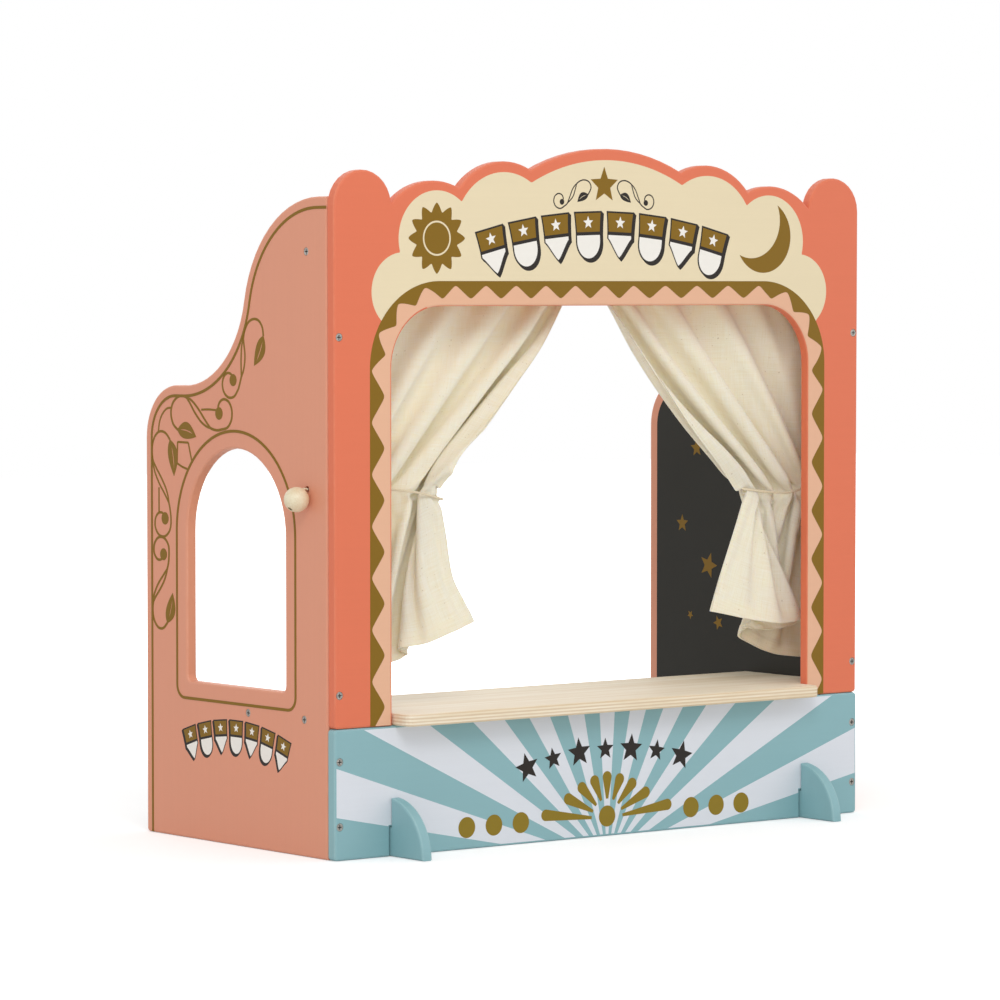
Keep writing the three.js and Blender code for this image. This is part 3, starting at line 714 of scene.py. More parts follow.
# teeth: the length along the opening's edge, from the left leg's foot, and how many have passed;
# lastReach and lastFall: where the first facet of the board's rounded edge ends
band = {"width": 19.4, "tip": 5.9, "valley": 15.5, "deeperBesides": 2.0, "shift": -1.7, "lap": 0.8,
        "rounding": 1.6, "lastReach": 0.5, "lastFall": 0.45,
        "teeth": [(0, -0.36), (273.4, 6.5), (338, 9.5), (364, 10.5), (544, 16.5), (677.5, 20.5),
                  (703, 21.5), (750, 23.5), (781.5, 24.5), (1034.2, 30.8)]}
# the cream field's lobes as circles (x, z, radius), and where it ends under the band: degrees, mm
cloud = [(0, 371.4, 168.6), (104.75, 479.5, 49.5), (171, 476.5, 37.5), (204, 435.5, 30.5)]
cloudFoot, cloudLap = 31, 2.4


def openingPath():
    # half of the opening's edge, up the left leg, round the corner and along to the middle of the
    # top, with its outward normals
    corner = np.array([opening["corner"] - opening["halfWidth"],
                       opening["top"] - opening["corner"]])
    legSteps, cornerSteps, topSteps = opening["steps"]
    z = np.linspace(opening["bottom"], corner[1], legSteps)
    leg = np.stack([np.full_like(z, -opening["halfWidth"]), z], -1)
    turn = np.linspace(math.pi, math.pi / 2, cornerSteps)
    turned = np.stack([np.cos(turn), np.sin(turn)], -1)
    x = np.linspace(corner[0], 0, topSteps)
    top = np.stack([x, np.full_like(x, opening["top"])], -1)
    points = np.concatenate([leg, (corner + opening["corner"] * turned)[1:], top[1:]])
    normals = np.concatenate([np.tile([-1.0, 0.0], (legSteps, 1)), turned[1:],
                              np.tile([0.0, 1.0], (topSteps - 1, 1))])
    return points, normals


def bothSides(half):
    # a half curve that ends on x = 0, and its mirror image
    return np.concatenate([half, (half * [-1, 1])[::-1][1:]])


def onRounding(points, height):
    # onto the board's rounded edge: the third number is how far it falls back there
    return onFront(points[..., :2], height - points[..., 2])


def offsetEdge(reach, fall=None):
    # the opening's edge, moved out by reach, with how far it falls back if that is given
    moved = edgePoints + edgeNormals * np.reshape(reach, (-1, 1))
    return moved if fall is None else np.column_stack([moved, np.full(len(moved), fall)])


edgePoints, edgeNormals = (bothSides(half) for half in openingPath())
toothPhase = np.interp(lengthsAlong(edgePoints), *np.transpose(band["teeth"]))
# the print stands a little to the left of the opening, and the teeth are deeper beside it
printShift = band["shift"] * edgeNormals[:, 0]
valley = band["valley"] + band["deeperBesides"] * np.abs(edgeNormals[:, 0]) ** 8
middle, swing = (band["tip"] + valley) / 2, (band["tip"] - valley) / 2
toothReach = middle + swing * triangleWave(2 * math.pi * toothPhase)
goldBand = plateBetween(offsetEdge(toothReach + printShift), offsetEdge(band["width"] + printShift),
                        onFront, coat["second"])
peachBand = plateBetween(offsetEdge(np.maximum(band["rounding"], printShift)),
                         offsetEdge(valley + band["lap"] + printShift), onFront, coat["first"])
# where the print comes nearer than the rounding, it goes on over its first facet
lapped = slice(int(np.argmax(printShift < band["lastReach"])), None)
peachLap = plateBetween(offsetEdge(band["lastReach"], band["lastFall"])[lapped],
                        offsetEdge(band["rounding"], 0)[lapped], onRounding, coat["first"])


def cloudOutline():
    # scallops of the cream field, from the middle of its top to where it meets the band
    centre = np.array([opening["halfWidth"] - opening["corner"],
                       opening["top"] - opening["corner"]])
    low = arc(centre, opening["corner"] + band["width"] - cloudLap, cloudFoot, 90, 40)
    foot = low[0]
    meets = [np.array([0, cloud[0][1] + cloud[0][2]])]
    meets += [circlesMeet(a, b) for a, b in zip(cloud, cloud[1:])] + [foot]
    runs = []
    for (x, z, radius), start, end in zip(cloud, meets, meets[1:]):
        angles = [math.degrees(math.atan2(p[1] - z, p[0] - x)) for p in (start, end)]
        runs.append(arc((x, z), radius, *angles, steps=36)[:-1])
    top = np.concatenate(runs + [foot[None]])
    bottom = np.concatenate([low, [[0, low[-1, 1]]]])
    return top[::-1] * [-1, 1], bottom * [-1, 1]


cloudTop, cloudBottom = [resample(bothSides(half), 360) for half in cloudOutline()]
creamField = plateBetween(cloudBottom, cloudTop, onFront, coat["lowest"])

# facing: the way that the moon's hollow side looks; blunt: how far apart its two arcs end
sun = {"centre": (-171.5, 477), "tip": 27.5, "waist": 20.5, "tips": 12, "ring": (12.2, 13.6)}
moon = {"centre": (165, 480.5), "radius": 29.8, "tips": (59, -149), "bulge": 19.8,
        "facing": (0.7, -0.714), "blunt": 0.05}
headStar = {"centre": (-3.7, 520), "radius": 14.8}
headScroll = {
    "line": 1.05,
    "knots": [(16.5, 512.5), (13.6, 518), (15.8, 522.6), (21.5, 524), (27.5, 521.6), (31, 516.5),
              (33.6, 511), (37.8, 505.4)],
    "curl": ((45.5, 508), 6.9, 222, 0.98), "lens": [(28.2, 521), (37.2, 506)], "bow": 1.5,
    "dot": 2.3, "tip": (27.5, 506.6), "leafWidth": 6.6, "bend": 0.1,
}


def sunShape():
    # radius swings between waist and tips as a triangle wave with round tips
    angle = np.linspace(0, 2 * math.pi, 241)[:-1]
    swing = triangleWave(sun["tips"] * angle)
    reach = (sun["tip"] + sun["waist"]) / 2 + swing * (sun["tip"] - sun["waist"]) / 2
    outline = np.array(sun["centre"]) + np.stack([np.sin(angle), np.cos(angle)], -1) * reach[:, None]
    return plateAround(sun["centre"], outline, onFront, coat["first"])


def moonShape():
    # between the outer arc and a flatter one through the same two tips
    centre = np.array(moon["centre"])
    outer = arc(centre, moon["radius"], *moon["tips"], steps=60)
    first, last = outer[0], outer[-1]
    middle, half = (first + last) / 2, np.hypot(*(last - first)) / 2
    radius = (half ** 2 + moon["bulge"] ** 2) / (2 * moon["bulge"])
    innerCentre = middle + np.array(moon["facing"]) * (moon["bulge"] - radius)
    angles = [math.degrees(math.atan2(*(p - innerCentre)[::-1])) for p in (first, last)]
    inner = arc(innerCentre, radius, *angles, steps=60)
    inner[0], inner[-1] = inner[0] - [0, moon["blunt"]], inner[-1] + [moon["blunt"], 0]
    return plateBetween(inner, outer, onFront, coat["first"])


bannerHead = np.array([[1, 1], [0.94, 0.6], [0.9, 0.15]])  # half of it, for a banner 2 by 2


def bannerFoot(kind):
    # half of a pointed or of a round foot, from the banner's side to the middle of its end
    if kind == "pointed":
        t = np.linspace(0, 1, 12)
        curve = np.stack([0.9 * (1 - t) ** 0.8, -0.15 - 0.85 * t ** 1.25], -1)
    else:
        curve = arc((0, -0.24), 1, 0, -90, 12) * [0.9, 0.8] - [0, 0.05]
    return np.concatenate([[[0.9, 0]], curve])


def bothHalves(half, size, margin=0.0):
    # a closed outline from its right half, scaled to size and drawn out by margin
    shape = np.concatenate([half, (half * [-1, 1])[::-1]]) * size
    return shape * (1 + margin / np.array(size))


def motifRow(place, height, row):
    # banners along an arc, in two kinds by turns: a dark backing that shows as an outline and a
    # shadow, a gold head with a pale star, and a white foot
    backs, golds, whites = [], [], []
    for i in range(row["count"]):
        middle, tilt = fanOut(row, i)
        spin = np.array([[math.cos(tilt), -math.sin(tilt)], [math.sin(tilt), math.cos(tilt)]])
        at = lambda x, z: middle + np.array([x, z]) * row["size"] @ spin
        foot = bannerFoot("round" if i % 2 else "pointed")
        back = bothHalves(np.concatenate([bannerHead, foot]), row["size"], row["outline"])
        for step in range(4):
            drop = np.array(row["shadow"]) * step / 3
            backs.append(plateAround(middle + drop, middle + drop + back @ spin, place,
                                     height + 0.008 * (3 - step)))
        for plates, half, spot in ((golds, bannerHead, 0.5), (whites, foot, -0.35)):
            plates.append(plateAround(at(0, spot), middle + bothHalves(half, row["size"]) @ spin,
                                      place, height + 0.06))
        whites.append(star(at(0, 0.57), row["star"], place, height + 0.11,
                           turn=90 - math.degrees(tilt)))
    return backs, golds, whites


def makePrint(name, parts, paint):
    # printed parts in one paint, riding on the stand
    makePiece(name, joinParts(parts), "stand", printed[paint])


headRow = {"centre": (-3.7, 480.5), "radius": 470, "spread": 13.8, "count": 8, "size": (13, 17.6),
           "outline": 1.4, "shadow": (2.2, -2.0), "star": 5.2}
headScrolls = [part for side in (-1, 1) for part in scrollWork(
    headScroll, headScroll["line"], onFront, coat["first"], side, headStar["centre"][0])]
headBacks, headGolds, headWhites = motifRow(onFront, coat["first"], headRow)
sunRing = plateBetween(*[circle(sun["centre"], radius, 60) for radius in sun["ring"]],
                       onFront, coat["second"], closed=True)
bigStar = star(headStar["centre"], headStar["radius"], onFront, coat["first"])
makePrint("header_cream", [creamField], "cream")
makePrint("header_gold", [sunShape(), moonShape(), bigStar, *headGolds], "gold")
makePrint("header_ink", headScrolls + headBacks, "ink")
makePrint("header_white", headWhites, "white")
makePrint("header_sun_ring", [sunRing], "cream")
makePrint("band_gold", [goldBand], "gold")
makePrint("band_peach", [peachBand, peachLap], "peach")
print("header painted")


# lower board: fan of petals, dots and an arc of stars

fan = {"hub": (0, 16), "hubRadius": 8.5, "fromBelow": 2, "root": 16, "rootWidth": 2.4,
       "tipRadius": 4.6, "tips": [(0, 47.5), (13, 45), (26, 40.5), (40, 32.5), (63, 21)]}
dots = {"radius": 8.3, "z": 17, "x": [88.3, 115.3, 142.3]}


def petal(tip):
    # drop from a narrow root by the hub to a round tip: half width grows evenly, then the tip's arc
    hub, tip = np.array(fan["hub"]) - [0, fan["fromBelow"]], np.array(tip, float)
    along = (tip - hub) / np.hypot(*(tip - hub))
    aside = np.array([-along[1], along[0]])
    root = hub + along * fan["root"]
    turn = np.radians(np.linspace(-100, 100, 25))[:, None]
    head = tip + fan["tipRadius"] * (along * np.cos(turn) + aside * np.sin(turn))
    foot = [root + aside * fan["rootWidth"] / 2, root - aside * fan["rootWidth"] / 2]
    return plateAround((tip + root) / 2, np.concatenate([foot, head]), onFront, coat["first"])


fanTips = fan["tips"] + [(-x, z) for x, z in fan["tips"][1:]]
fanParts = [petal(tip) for tip in fanTips]
fanParts.append(disc(fan["hub"], fan["hubRadius"], onFront, coat["first"]))
fanParts += [disc((side * x, dots["z"]), dots["radius"], onFront, coat["first"])
             for x in dots["x"] for side in (-1, 1)]
makePrint("base_fan", fanParts, "fanGold")

starArc = {"centre": (-2, 70), "radius": 330, "spread": 14, "count": 7, "size": (9, 12)}
starParts = []
for i in range(starArc["count"]):
    middle, tilt = fanOut(starArc, i)
    starParts.append(star(middle, starArc["size"][i % 2 == 0], onFront, coat["first"],
                          turn=90 - math.degrees(tilt)))
makePrint("base_stars", starParts, "ink")
print("lower board painted")


# walls: border lines, window line, vine, ornaments, charcoal insides and stars

# brow, hollow and corner: circles (y, z, radius) of the wall's outline, which the first two leave
# at the tangent's angle; line: the border's inset, front end, bottom and width
wall = {"front": 9.8, "rear": 256.5, "brow": (22, 408.5, 100), "hollow": (203.16, 446, 85),
        "corner": (214, 318.5, 42.5), "tangent": 11.7, "hole": (35.5, 284, 3.1),
        "line": (8.4, 10.2, 0.6), "lineWidth": 2.3}
window = {"y": 132, "z": 215, "halfWidth": 67.25, "sill": 125.5, "spring": 245.5,
          "line": (13.6, 10)}


def wallCurve(inset, front, bottom):
    # outline of a wall, drawn in by inset, from its top front round its rear down to bottom
    browY, browZ, browRadius = wall["brow"]
    browRadius -= inset
    start = math.degrees(math.acos(max(front - browY, 0) / browRadius))
    return np.concatenate([
        [[front, browZ + browRadius]] if front < browY else np.zeros((0, 2)),
        arc((browY, browZ), browRadius, start, wall["tangent"], 30),
        arc(wall["hollow"][:2], wall["hollow"][2] + inset, wall["tangent"] - 180, -90, 30)[1:],
        arc(wall["corner"][:2], wall["corner"][2] - inset, 90, 0, 24),
        [[wall["rear"] - inset, bottom]]])


def windowCurve(margin, corner):
    # the window's arch and sill, drawn out by margin, as a closed curve
    low, high = window["y"] - window["halfWidth"] - margin, window["y"] + window["halfWidth"] + margin
    sill = window["sill"] - margin
    arch = arc((window["y"], window["spring"]), window["halfWidth"] + margin, 0, 180, 40)
    return np.concatenate([arch, arc((low + corner, sill + corner), corner, 180, 270, 8),
                           arc((high - corner, sill + corner), corner, 270, 360, 8)])


def closedStroke(points, width, place, height):
    # a painted line of one width round a closed curve
    points = np.asarray(points, float)
    around = np.concatenate([points[-1:], points, points[:1]])
    aside = sideways(around)[1:-1] * width / 2
    return plateBetween(points - aside, points + aside, place, height, closed=True)


vine = {"line": 2.1, "link": 1.7, "lift": 0.09, "linkLift": 0.062, "linkStep": 0.006}
wallScrolls = [
    {"knots": [(93, 401), (94.5, 408), (99.5, 413.2), (106.5, 414.3), (113.5, 411.5), (118.5, 404.5),
               (120.5, 395), (120.5, 384), (122, 372), (126.2, 361)],
     "curl": ((138.6, 364.2), 12.4, 205, 0.86), "lens": [(120, 399), (123, 369)], "bow": 2.6,
     "dot": 4.8, "tip": (105.5, 378), "leafWidth": 12.5, "bend": -0.06},
    {"knots": [(211, 325.5), (217.5, 330), (220.6, 338), (218.5, 346), (211.5, 351.4), (203, 352.6),
               (194, 349), (185, 341.5), (175.5, 333.5), (166, 328.2), (157, 326.4)],
     "curl": ((148.2, 341), 13.8, 275, -0.8), "lens": [(198, 351), (166, 328.2)], "bow": 2.8,
     "dot": 5.0, "tip": (185.5, 320.5), "leafWidth": 13.5, "bend": -0.08},
    {"knots": [(222, 317), (228.5, 322.4), (236.5, 323.6), (243.5, 319.6), (247.4, 311.5),
               (247, 302), (243, 293), (236, 284), (228.6, 275), (223.4, 265)],
     "curl": ((233.8, 251.2), 12.9, 172, 0.93), "lens": [(246.8, 300), (224.2, 267)], "bow": 2.6,
     "dot": 5.0, "tip": (216.5, 288.5), "leafWidth": 13.5, "bend": -0.06},
    {"knots": [(226.5, 170.5), (232.5, 165.8), (239.5, 166), (245.3, 171.6), (247.4, 180.5),
               (245.2, 189.5), (239, 198), (231.5, 206.5), (226, 215)],
     "curl": ((236, 227.6), 12.4, 196, -0.96), "lens": [(246.6, 186), (227, 213)], "bow": 2.4,
     "dot": 4.8, "tip": (219, 194.5), "leafWidth": 12.5, "bend": 0.06},
]
wallLinks = [
    [(157.5, 342.2), (167, 342.6), (178, 342.2)],
    [(219, 342.8), (226, 342.2), (232.5, 338), (236.8, 331.5), (238.6, 323.5)],
    [(212.2, 298.8), (205, 296.2), (198, 294.6)],
    [(191.6, 301.4), (194, 308.5), (196.4, 315.6)],
    [(196.4, 315.6), (204, 315.7), (211.4, 315.8)],
    [(211.4, 315.8), (211.8, 307), (212.2, 298.8)],
    [(238, 278.6), (238, 270), (238, 258.5)],
]
windowLinks = range(2, 6)  # those of them that join the vine to the window's line


def vineShape(place, height, windowed=True):
    # the wall's scrolls, each at a height of its own where they meet, and the links between them
    links = [link for i, link in enumerate(wallLinks) if windowed or i not in windowLinks]
    parts = [part for i, scroll in enumerate(wallScrolls)
             for part in scrollWork(scroll, vine["line"], place, height + vine["lift"] * (i % 2))]
    return parts + [stroke(smoothCurve(link, 8), vine["link"], place,
                           height + vine["linkLift"] + vine["linkStep"] * i)
                    for i, link in enumerate(links)]


ticketRow = {"centre": (131, 85.5), "radius": 210, "spread": 17, "count": 7, "size": (8.4, 12.5),
             "outline": 1.1, "shadow": (1.5, -1.4), "star": 3.6}
leftOut, rightOut = wallFaces["leftOut"], wallFaces["rightOut"]
border = resample(wallCurve(*wall["line"]), 300)
wallLine, rightLine = [stroke(border, wall["lineWidth"], face, coat["border"])
                       for face in (leftOut, rightOut)]
windowLine = closedStroke(resample(windowCurve(*window["line"]), 300, closed=True),
                          wall["lineWidth"], leftOut, coat["border"])
backs, golds, whites = motifRow(leftOut, coat["first"], ticketRow)
makePrint("left_wall_gold", [wallLine, windowLine, *vineShape(leftOut, coat["first"]), *golds],
          "gold")
makePrint("left_wall_ink", backs, "ink")
makePrint("left_wall_white", whites, "white")
makePrint("right_wall_gold", [rightLine, *vineShape(rightOut, coat["first"], windowed=False)],
          "gold")

# charcoal fields inside the walls; the left one is split before the window; stars (y, z, radius)
night = {"margin": 9.5, "bottom": 0.4, "split": 46, "windowMargin": 9.5, "windowCorner": 8,
         "turn": 17,
         "rightStars": [(213, 234, 8), (178, 199, 11.5), (202, 155, 4), (165, 150, 6.5), (194, 300, 8),
                        (80, 330, 7), (118, 366, 10), (70, 452, 8), (96, 396, 5), (60, 210, 9),
                        (100, 170, 5), (140, 60, 8), (200, 70, 11), (80, 70, 6)],
         "leftStars": [(228, 262, 7), (232, 190, 10), (225, 128, 6), (96, 350, 8), (140, 350, 6),
                       (75, 452, 9), (100, 405, 5), (228, 320, 5), (80, 60, 8), (150, 74, 10),
                       (215, 60, 6)]}


def nightAround(centre, hole, outline, face):
    # a ring of night paint on a wall, from a hole's edge round its centre out to an outline
    return ringPlate(centre, hole, outline, wallFaces[face], coat["first"])


cordHole, wallFront, low = wall["hole"][:2], wall["front"], night["bottom"]
holeEdge = circle(cordHole, wall["hole"][2], 32)
outline = wallCurve(night["margin"], wallFront, low)
rightField = np.concatenate([outline, [[wallFront, low]]])
browY, browZ, browRadius = wall["brow"]
splitTop = browZ + math.sqrt((browRadius - night["margin"]) ** 2 - (night["split"] - browY) ** 2)
frontStrip = np.concatenate([outline[outline[:, 0] < night["split"]], [[night["split"], splitTop]],
                             [[night["split"], low], [wallFront, low]]])
rearField = np.concatenate([wallCurve(night["margin"], night["split"], low),
                            [[night["split"], low]]])
windowEdge = windowCurve(night["windowMargin"], night["windowCorner"])
makePrint("right_wall_night", [nightAround(cordHole, holeEdge, rightField, "rightIn")],
          "charcoal")
leftFields = [nightAround(cordHole, holeEdge, frontStrip, "leftIn"),
              nightAround((window["y"], window["z"]), windowEdge, rearField, "leftIn")]
makePrint("left_wall_night", leftFields, "charcoal")
for side, slot in (("left", "salmon_board"), ("right", "charcoal_board")):
    makePrint(side + "_wall_stars", [
        star((y, z), radius, wallFaces[side + "In"], coat["second"], turn=90 + night["turn"] * i)
        for i, (y, z, radius) in enumerate(night[side + "Stars"])], "gold")
print("walls painted")


# screws: painted shade, as dark plates in the cross recesses and a dark line where each head meets its
# board

screwLook = {"sunk": 0.3, "crossLength": 3.56, "crossWidth": 0.76, "inside": 0.25,
             "headRadius": 3.0, "holeRadius": 3.28}


def screwShadeMarks(name):
    # the painted shade plates, in the plane of the board that the screw's head is in
    low, high = [np.array(corner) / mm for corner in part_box(name)]
    middle = (low + high) / 2
    if name.startswith("front"):
        board, spot = onFront, middle[[0, 2]]
    else:
        board = wallFaces["leftOut" if middle[0] < 0 else "rightOut"]
        spot = np.array([middle[1] - frontY, middle[2]])
    deep = lambda points, height: board(points, height - screwLook["sunk"] - screwLook["inside"])
    parts = []
    for turn in ((1, 0), (0, 1)):
        reach = np.array(turn) * screwLook["crossLength"] / 2
        bar = np.array([spot - reach, spot, spot + reach])
        parts.append(stroke(bar, screwLook["crossWidth"], deep, coat["lowest"] + 0.01 * turn[0]))
    rings = [circle(spot, screwLook[size], 32) for size in ("headRadius", "holeRadius")]
    return parts + [plateBetween(*rings, deep, 2 * coat["lowest"], closed=True)]


screwNames = [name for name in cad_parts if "screw" in name]
makePiece("screw_recess_shade", joinParts([part for name in screwNames for part in screwShadeMarks(name)]),
          "stand", recessShadeSteel)
print("screws marked:", len(screwNames))


# curtains: cotton sheets hung from the rod, drawn aside and left to settle

rod = {"y": 36.5, "z": 466.5, "radius": 6}
# inner: the walls' inner faces; seamDrop: from the rod down to the pocket's seam; foldStep: the
# width over which a hem gets thicker; ripple: depth and count of the seam's waves; pleatReach:
# where the pleats begin and end; slack: spare length above the waist, at the wall and at the free
# edge; blouse: the most spare length that may stay above the waist
cloth = {
    "inner": 260.5, "endGap": 1.5, "seamDrop": 2.1, "thickness": 0.9, "hemThickness": 1.8,
    "hemFold": 11, "sideFold": 6, "sideShare": 0.5, "foldStep": 1.2, "ripple": (1.8, 5),
    "pleatDepth": 9.5, "pleatRound": 1.6, "pleatReach": (0.03, 0.72),
    "overReach": 0.4, "hemRound": 3, "soften": 0.9, "slack": (0.004, 0.008), "blouse": 0.06,
    "rows": 86, "columns": 73, "fineRows": 214, "fineColumns": 181,
}
# round: the pocket's length round the rod; puckers: count and depth of its small gathers
pocket = {"radius": 8.3, "rows": 26, "round": 50, "puckers": (23, 0.55)}
# pull: the frames in which the cloth is drawn aside; gap: how near its layers come, in mm; hemHold,
# cornerHold and guide: how firmly its hem, the hem's corner and the rest keep to where they are drawn
settling = {
    "frames": 60, "pull": 34, "quality": 8, "mass": 0.02, "stretch": 30, "shear": 8, "bend": 1.5,
    "damping": 8, "bendDamping": 0.3, "air": 5, "gap": 1.5, "hemHold": 0.5, "cornerHold": 0.8,
    "guide": (0.06, 0.1),
}
# press, nearby and release: how far inside its loop the cord presses the cloth, how far up and down
# it does so, and how much room the cloth has beyond that
tie = {"radius": 1.0, "strands": 3, "lay": 6.0, "strandGap": 0.15, "endGap": 1.8, "depth": 9.6,
       "inHole": 7, "hole": wall["hole"][:2], "sides": 10,
       "press": 0.5, "nearby": 2.6, "release": 14}
# half of the loop from above, as shares of its reach and its depth
routeShares = [(0.04, 0.3), (0.2, 0.85), (0.48, 1.05), (0.76, 1.08), (0.94, 0.88), (1, 0.42)]
# waistReach: how far the drawn waist reaches from the wall, and bow: how much farther the free edge
# starts; rollBack: where its roll turns forwards again; lengths: below the seam, at the wall and at
# the free edge; hem: reach from the wall, depth behind the rod and height of the points that the
# bottom edge is drawn towards; cordZ: the tie-back's heights at even steps from the wall's hole to
# the far end of its loop; sag and tuck: how far the free edge is moved towards the middle and
# towards the wall, at even steps from the seam to the waist and from there to the hem
curtains = [
    {"name": "left", "side": -1, "waistReach": 117, "pleats": 6, "rollBack": 0.8, "bow": 12,
     "lengths": (338, 341), "cordZ": (284, 284, 283.4, 281.5, 278.2, 273),
     "sag": (0, 7.5, 12, 8, 3, -5, 0), "tuck": (0, 3, 6, 10, 12, 8, 4),
     "hem": [(4, 10, 126), (40, 17, 130), (78, 13, 141), (44, 6, 134), (92, 1, 152), (72, -7, 155),
             (112, -16, 158), (138, -15, 165), (151, -10, 174)]},
    {"name": "right", "side": 1, "waistReach": 86, "pleats": 7, "rollBack": 0.83, "bow": 16,
     "lengths": (340, 363), "cordZ": (284, 275, 269.5, 268.5, 270, 272),
     "sag": (0, 2.5, 10, 13, 11, 3, 0), "tuck": (0, 0, 0, 0, 0, 0, 0),
     "hem": [(4, 10, 126), (42, 15, 129), (88, 11, 142), (94, 5, 151), (54, 1, 154), (16, -5, 153),
             (18, -11, 148), (62, -17, 153), (98, -16, 159), (135, -10, 168)]},
]


def knotValue(knots, share):
    # one number at a share of the way along knots at even steps, as a smooth curve through them
    return smoothRows(np.array(knots, float)[:, None], np.ravel(share)).reshape(np.shape(share))


def sheetLengths(curtain, across):
    # from the wall's edge to the free edge the sheet gets longer with the power 1.5 of the way
    return np.interp(across ** 1.5, [0, 1], curtain["lengths"])


def topReach(across):
    # the sheet's width is spread evenly along the rod
    return cloth["endGap"] + (cloth["inner"] - 2 * cloth["endGap"]) * across


def topRipple(across, side):
    # the seam under the rod waves in and out, in uneven steps
    depth, count = cloth["ripple"]
    return depth * np.sin(2 * math.pi * (count * across + 0.06 * np.sin(9 * across + side)))


def smoothed(points, reach):
    # points of an evenly stepped polyline, averaged with a bell of the given reach in steps
    width = int(4 * reach)
    bell = np.exp(-0.5 * (np.arange(-width, width + 1) / reach) ** 2)
    padded = np.pad(points, ((width, width), (0, 0)), mode="edge")
    return np.stack([np.convolve(padded[:, i], bell / bell.sum(), "valid")
                     for i in range(points.shape[1])], -1)


def rounded(knots, radius, steps):
    # a polyline at even steps, with its corners rounded by a bell of that radius
    path = resample(knots, steps)
    return smoothed(path, radius * (steps - 1) / lengthsAlong(path)[-1])


def waistPleats(curtain, count):
    # seen from above: uneven zigzag pleats from the wall outwards, then a roll that turns back and
    # comes forward again to the free edge; rounded, and stepped evenly along its length
    i = np.arange(curtain["pleats"] + 1)
    reach = np.linspace(*cloth["pleatReach"], len(i))
    reach[1:-1] += 0.22 * (reach[1] - reach[0]) * np.sin(i[1:-1] * 2.3 + curtain["side"])
    swing = (-1.0) ** (i + 1) * np.where(i == 0, 0.35, 0.8 + 0.2 * np.sin(i * 1.9))
    back = curtain["rollBack"]
    roll = [(0.92, 0.95), (0.99, 0.6), (1.0, 0.15), (back + 0.08, -0.1), (back, -0.5),
            (back + 0.06, -0.92), (0.98, -0.62)]
    turns = np.concatenate([np.stack([reach, swing], -1), roll])
    path = rounded(turns * [curtain["waistReach"], cloth["pleatDepth"]], cloth["pleatRound"], 1200)
    path[:, 0] *= (curtain["waistReach"] + cloth["overReach"]) / path[:, 0].max()
    return resample(path, count)


def hangCurtain(curtain):
    # the sheet as it hangs straight from the rod; where it is drawn to, in straight lines from
    # the seam to the waist and on to the hem, with a bow at the free edge; and which row of each
    # column the tie-back holds
    across, rows = np.linspace(0, 1, cloth["columns"]), cloth["rows"]
    length, reach = sheetLengths(curtain, across), topReach(across)
    top = rod["z"] - rod["radius"] - cloth["seamDrop"]
    hung = np.stack(np.broadcast_arrays(
        reach[None], topRipple(across, curtain["side"])[None],
        top - length * np.linspace(0, 1, rows)[:, None]), -1)
    waist = waistPleats(curtain, len(across))
    share = np.clip(waist[:, 0] / (curtain["waistReach"] + tie["endGap"]), 0, 1)
    waist = np.column_stack([waist, knotValue(curtain["cordZ"], share)])
    hem = resample(rounded(curtain["hem"], cloth["hemRound"], 600), len(across))
    straight = np.hypot(reach - waist[:, 0], top - waist[:, 2])
    below = np.linalg.norm(waist - hem, axis=1)
    above = np.maximum(straight * (1 + np.interp(across ** 3, [0, 1], cloth["slack"])),
                       np.minimum(length - below, straight * (1 + cloth["blouse"])))
    held = np.round(smoothed((above / length)[:, None], 2)[:, 0] * (rows - 1)).astype(int)
    row = np.arange(rows)[:, None]
    toWaist = np.clip(row / held, 0, 1)[..., None]
    toHem = np.clip((row - held) / (rows - 1 - held), 0, 1)[..., None]
    drawn = np.where(row[..., None] <= held[:, None], hung[:1] * (1 - toWaist) + waist * toWaist,
                     waist * (1 - toHem) + hem * toHem)
    drawn[..., 0] += curtain["bow"] * np.sin(math.pi * toWaist[..., 0]) * across ** 3
    return hung, drawn, held


def toFrame(curtain, points):
    # reach from the wall, depth behind the rod and height, as x, y and z
    return np.stack([curtain["side"] * (cloth["inner"] - points[..., 0]),
                     rod["y"] + frontY + points[..., 1], points[..., 2]], -1)


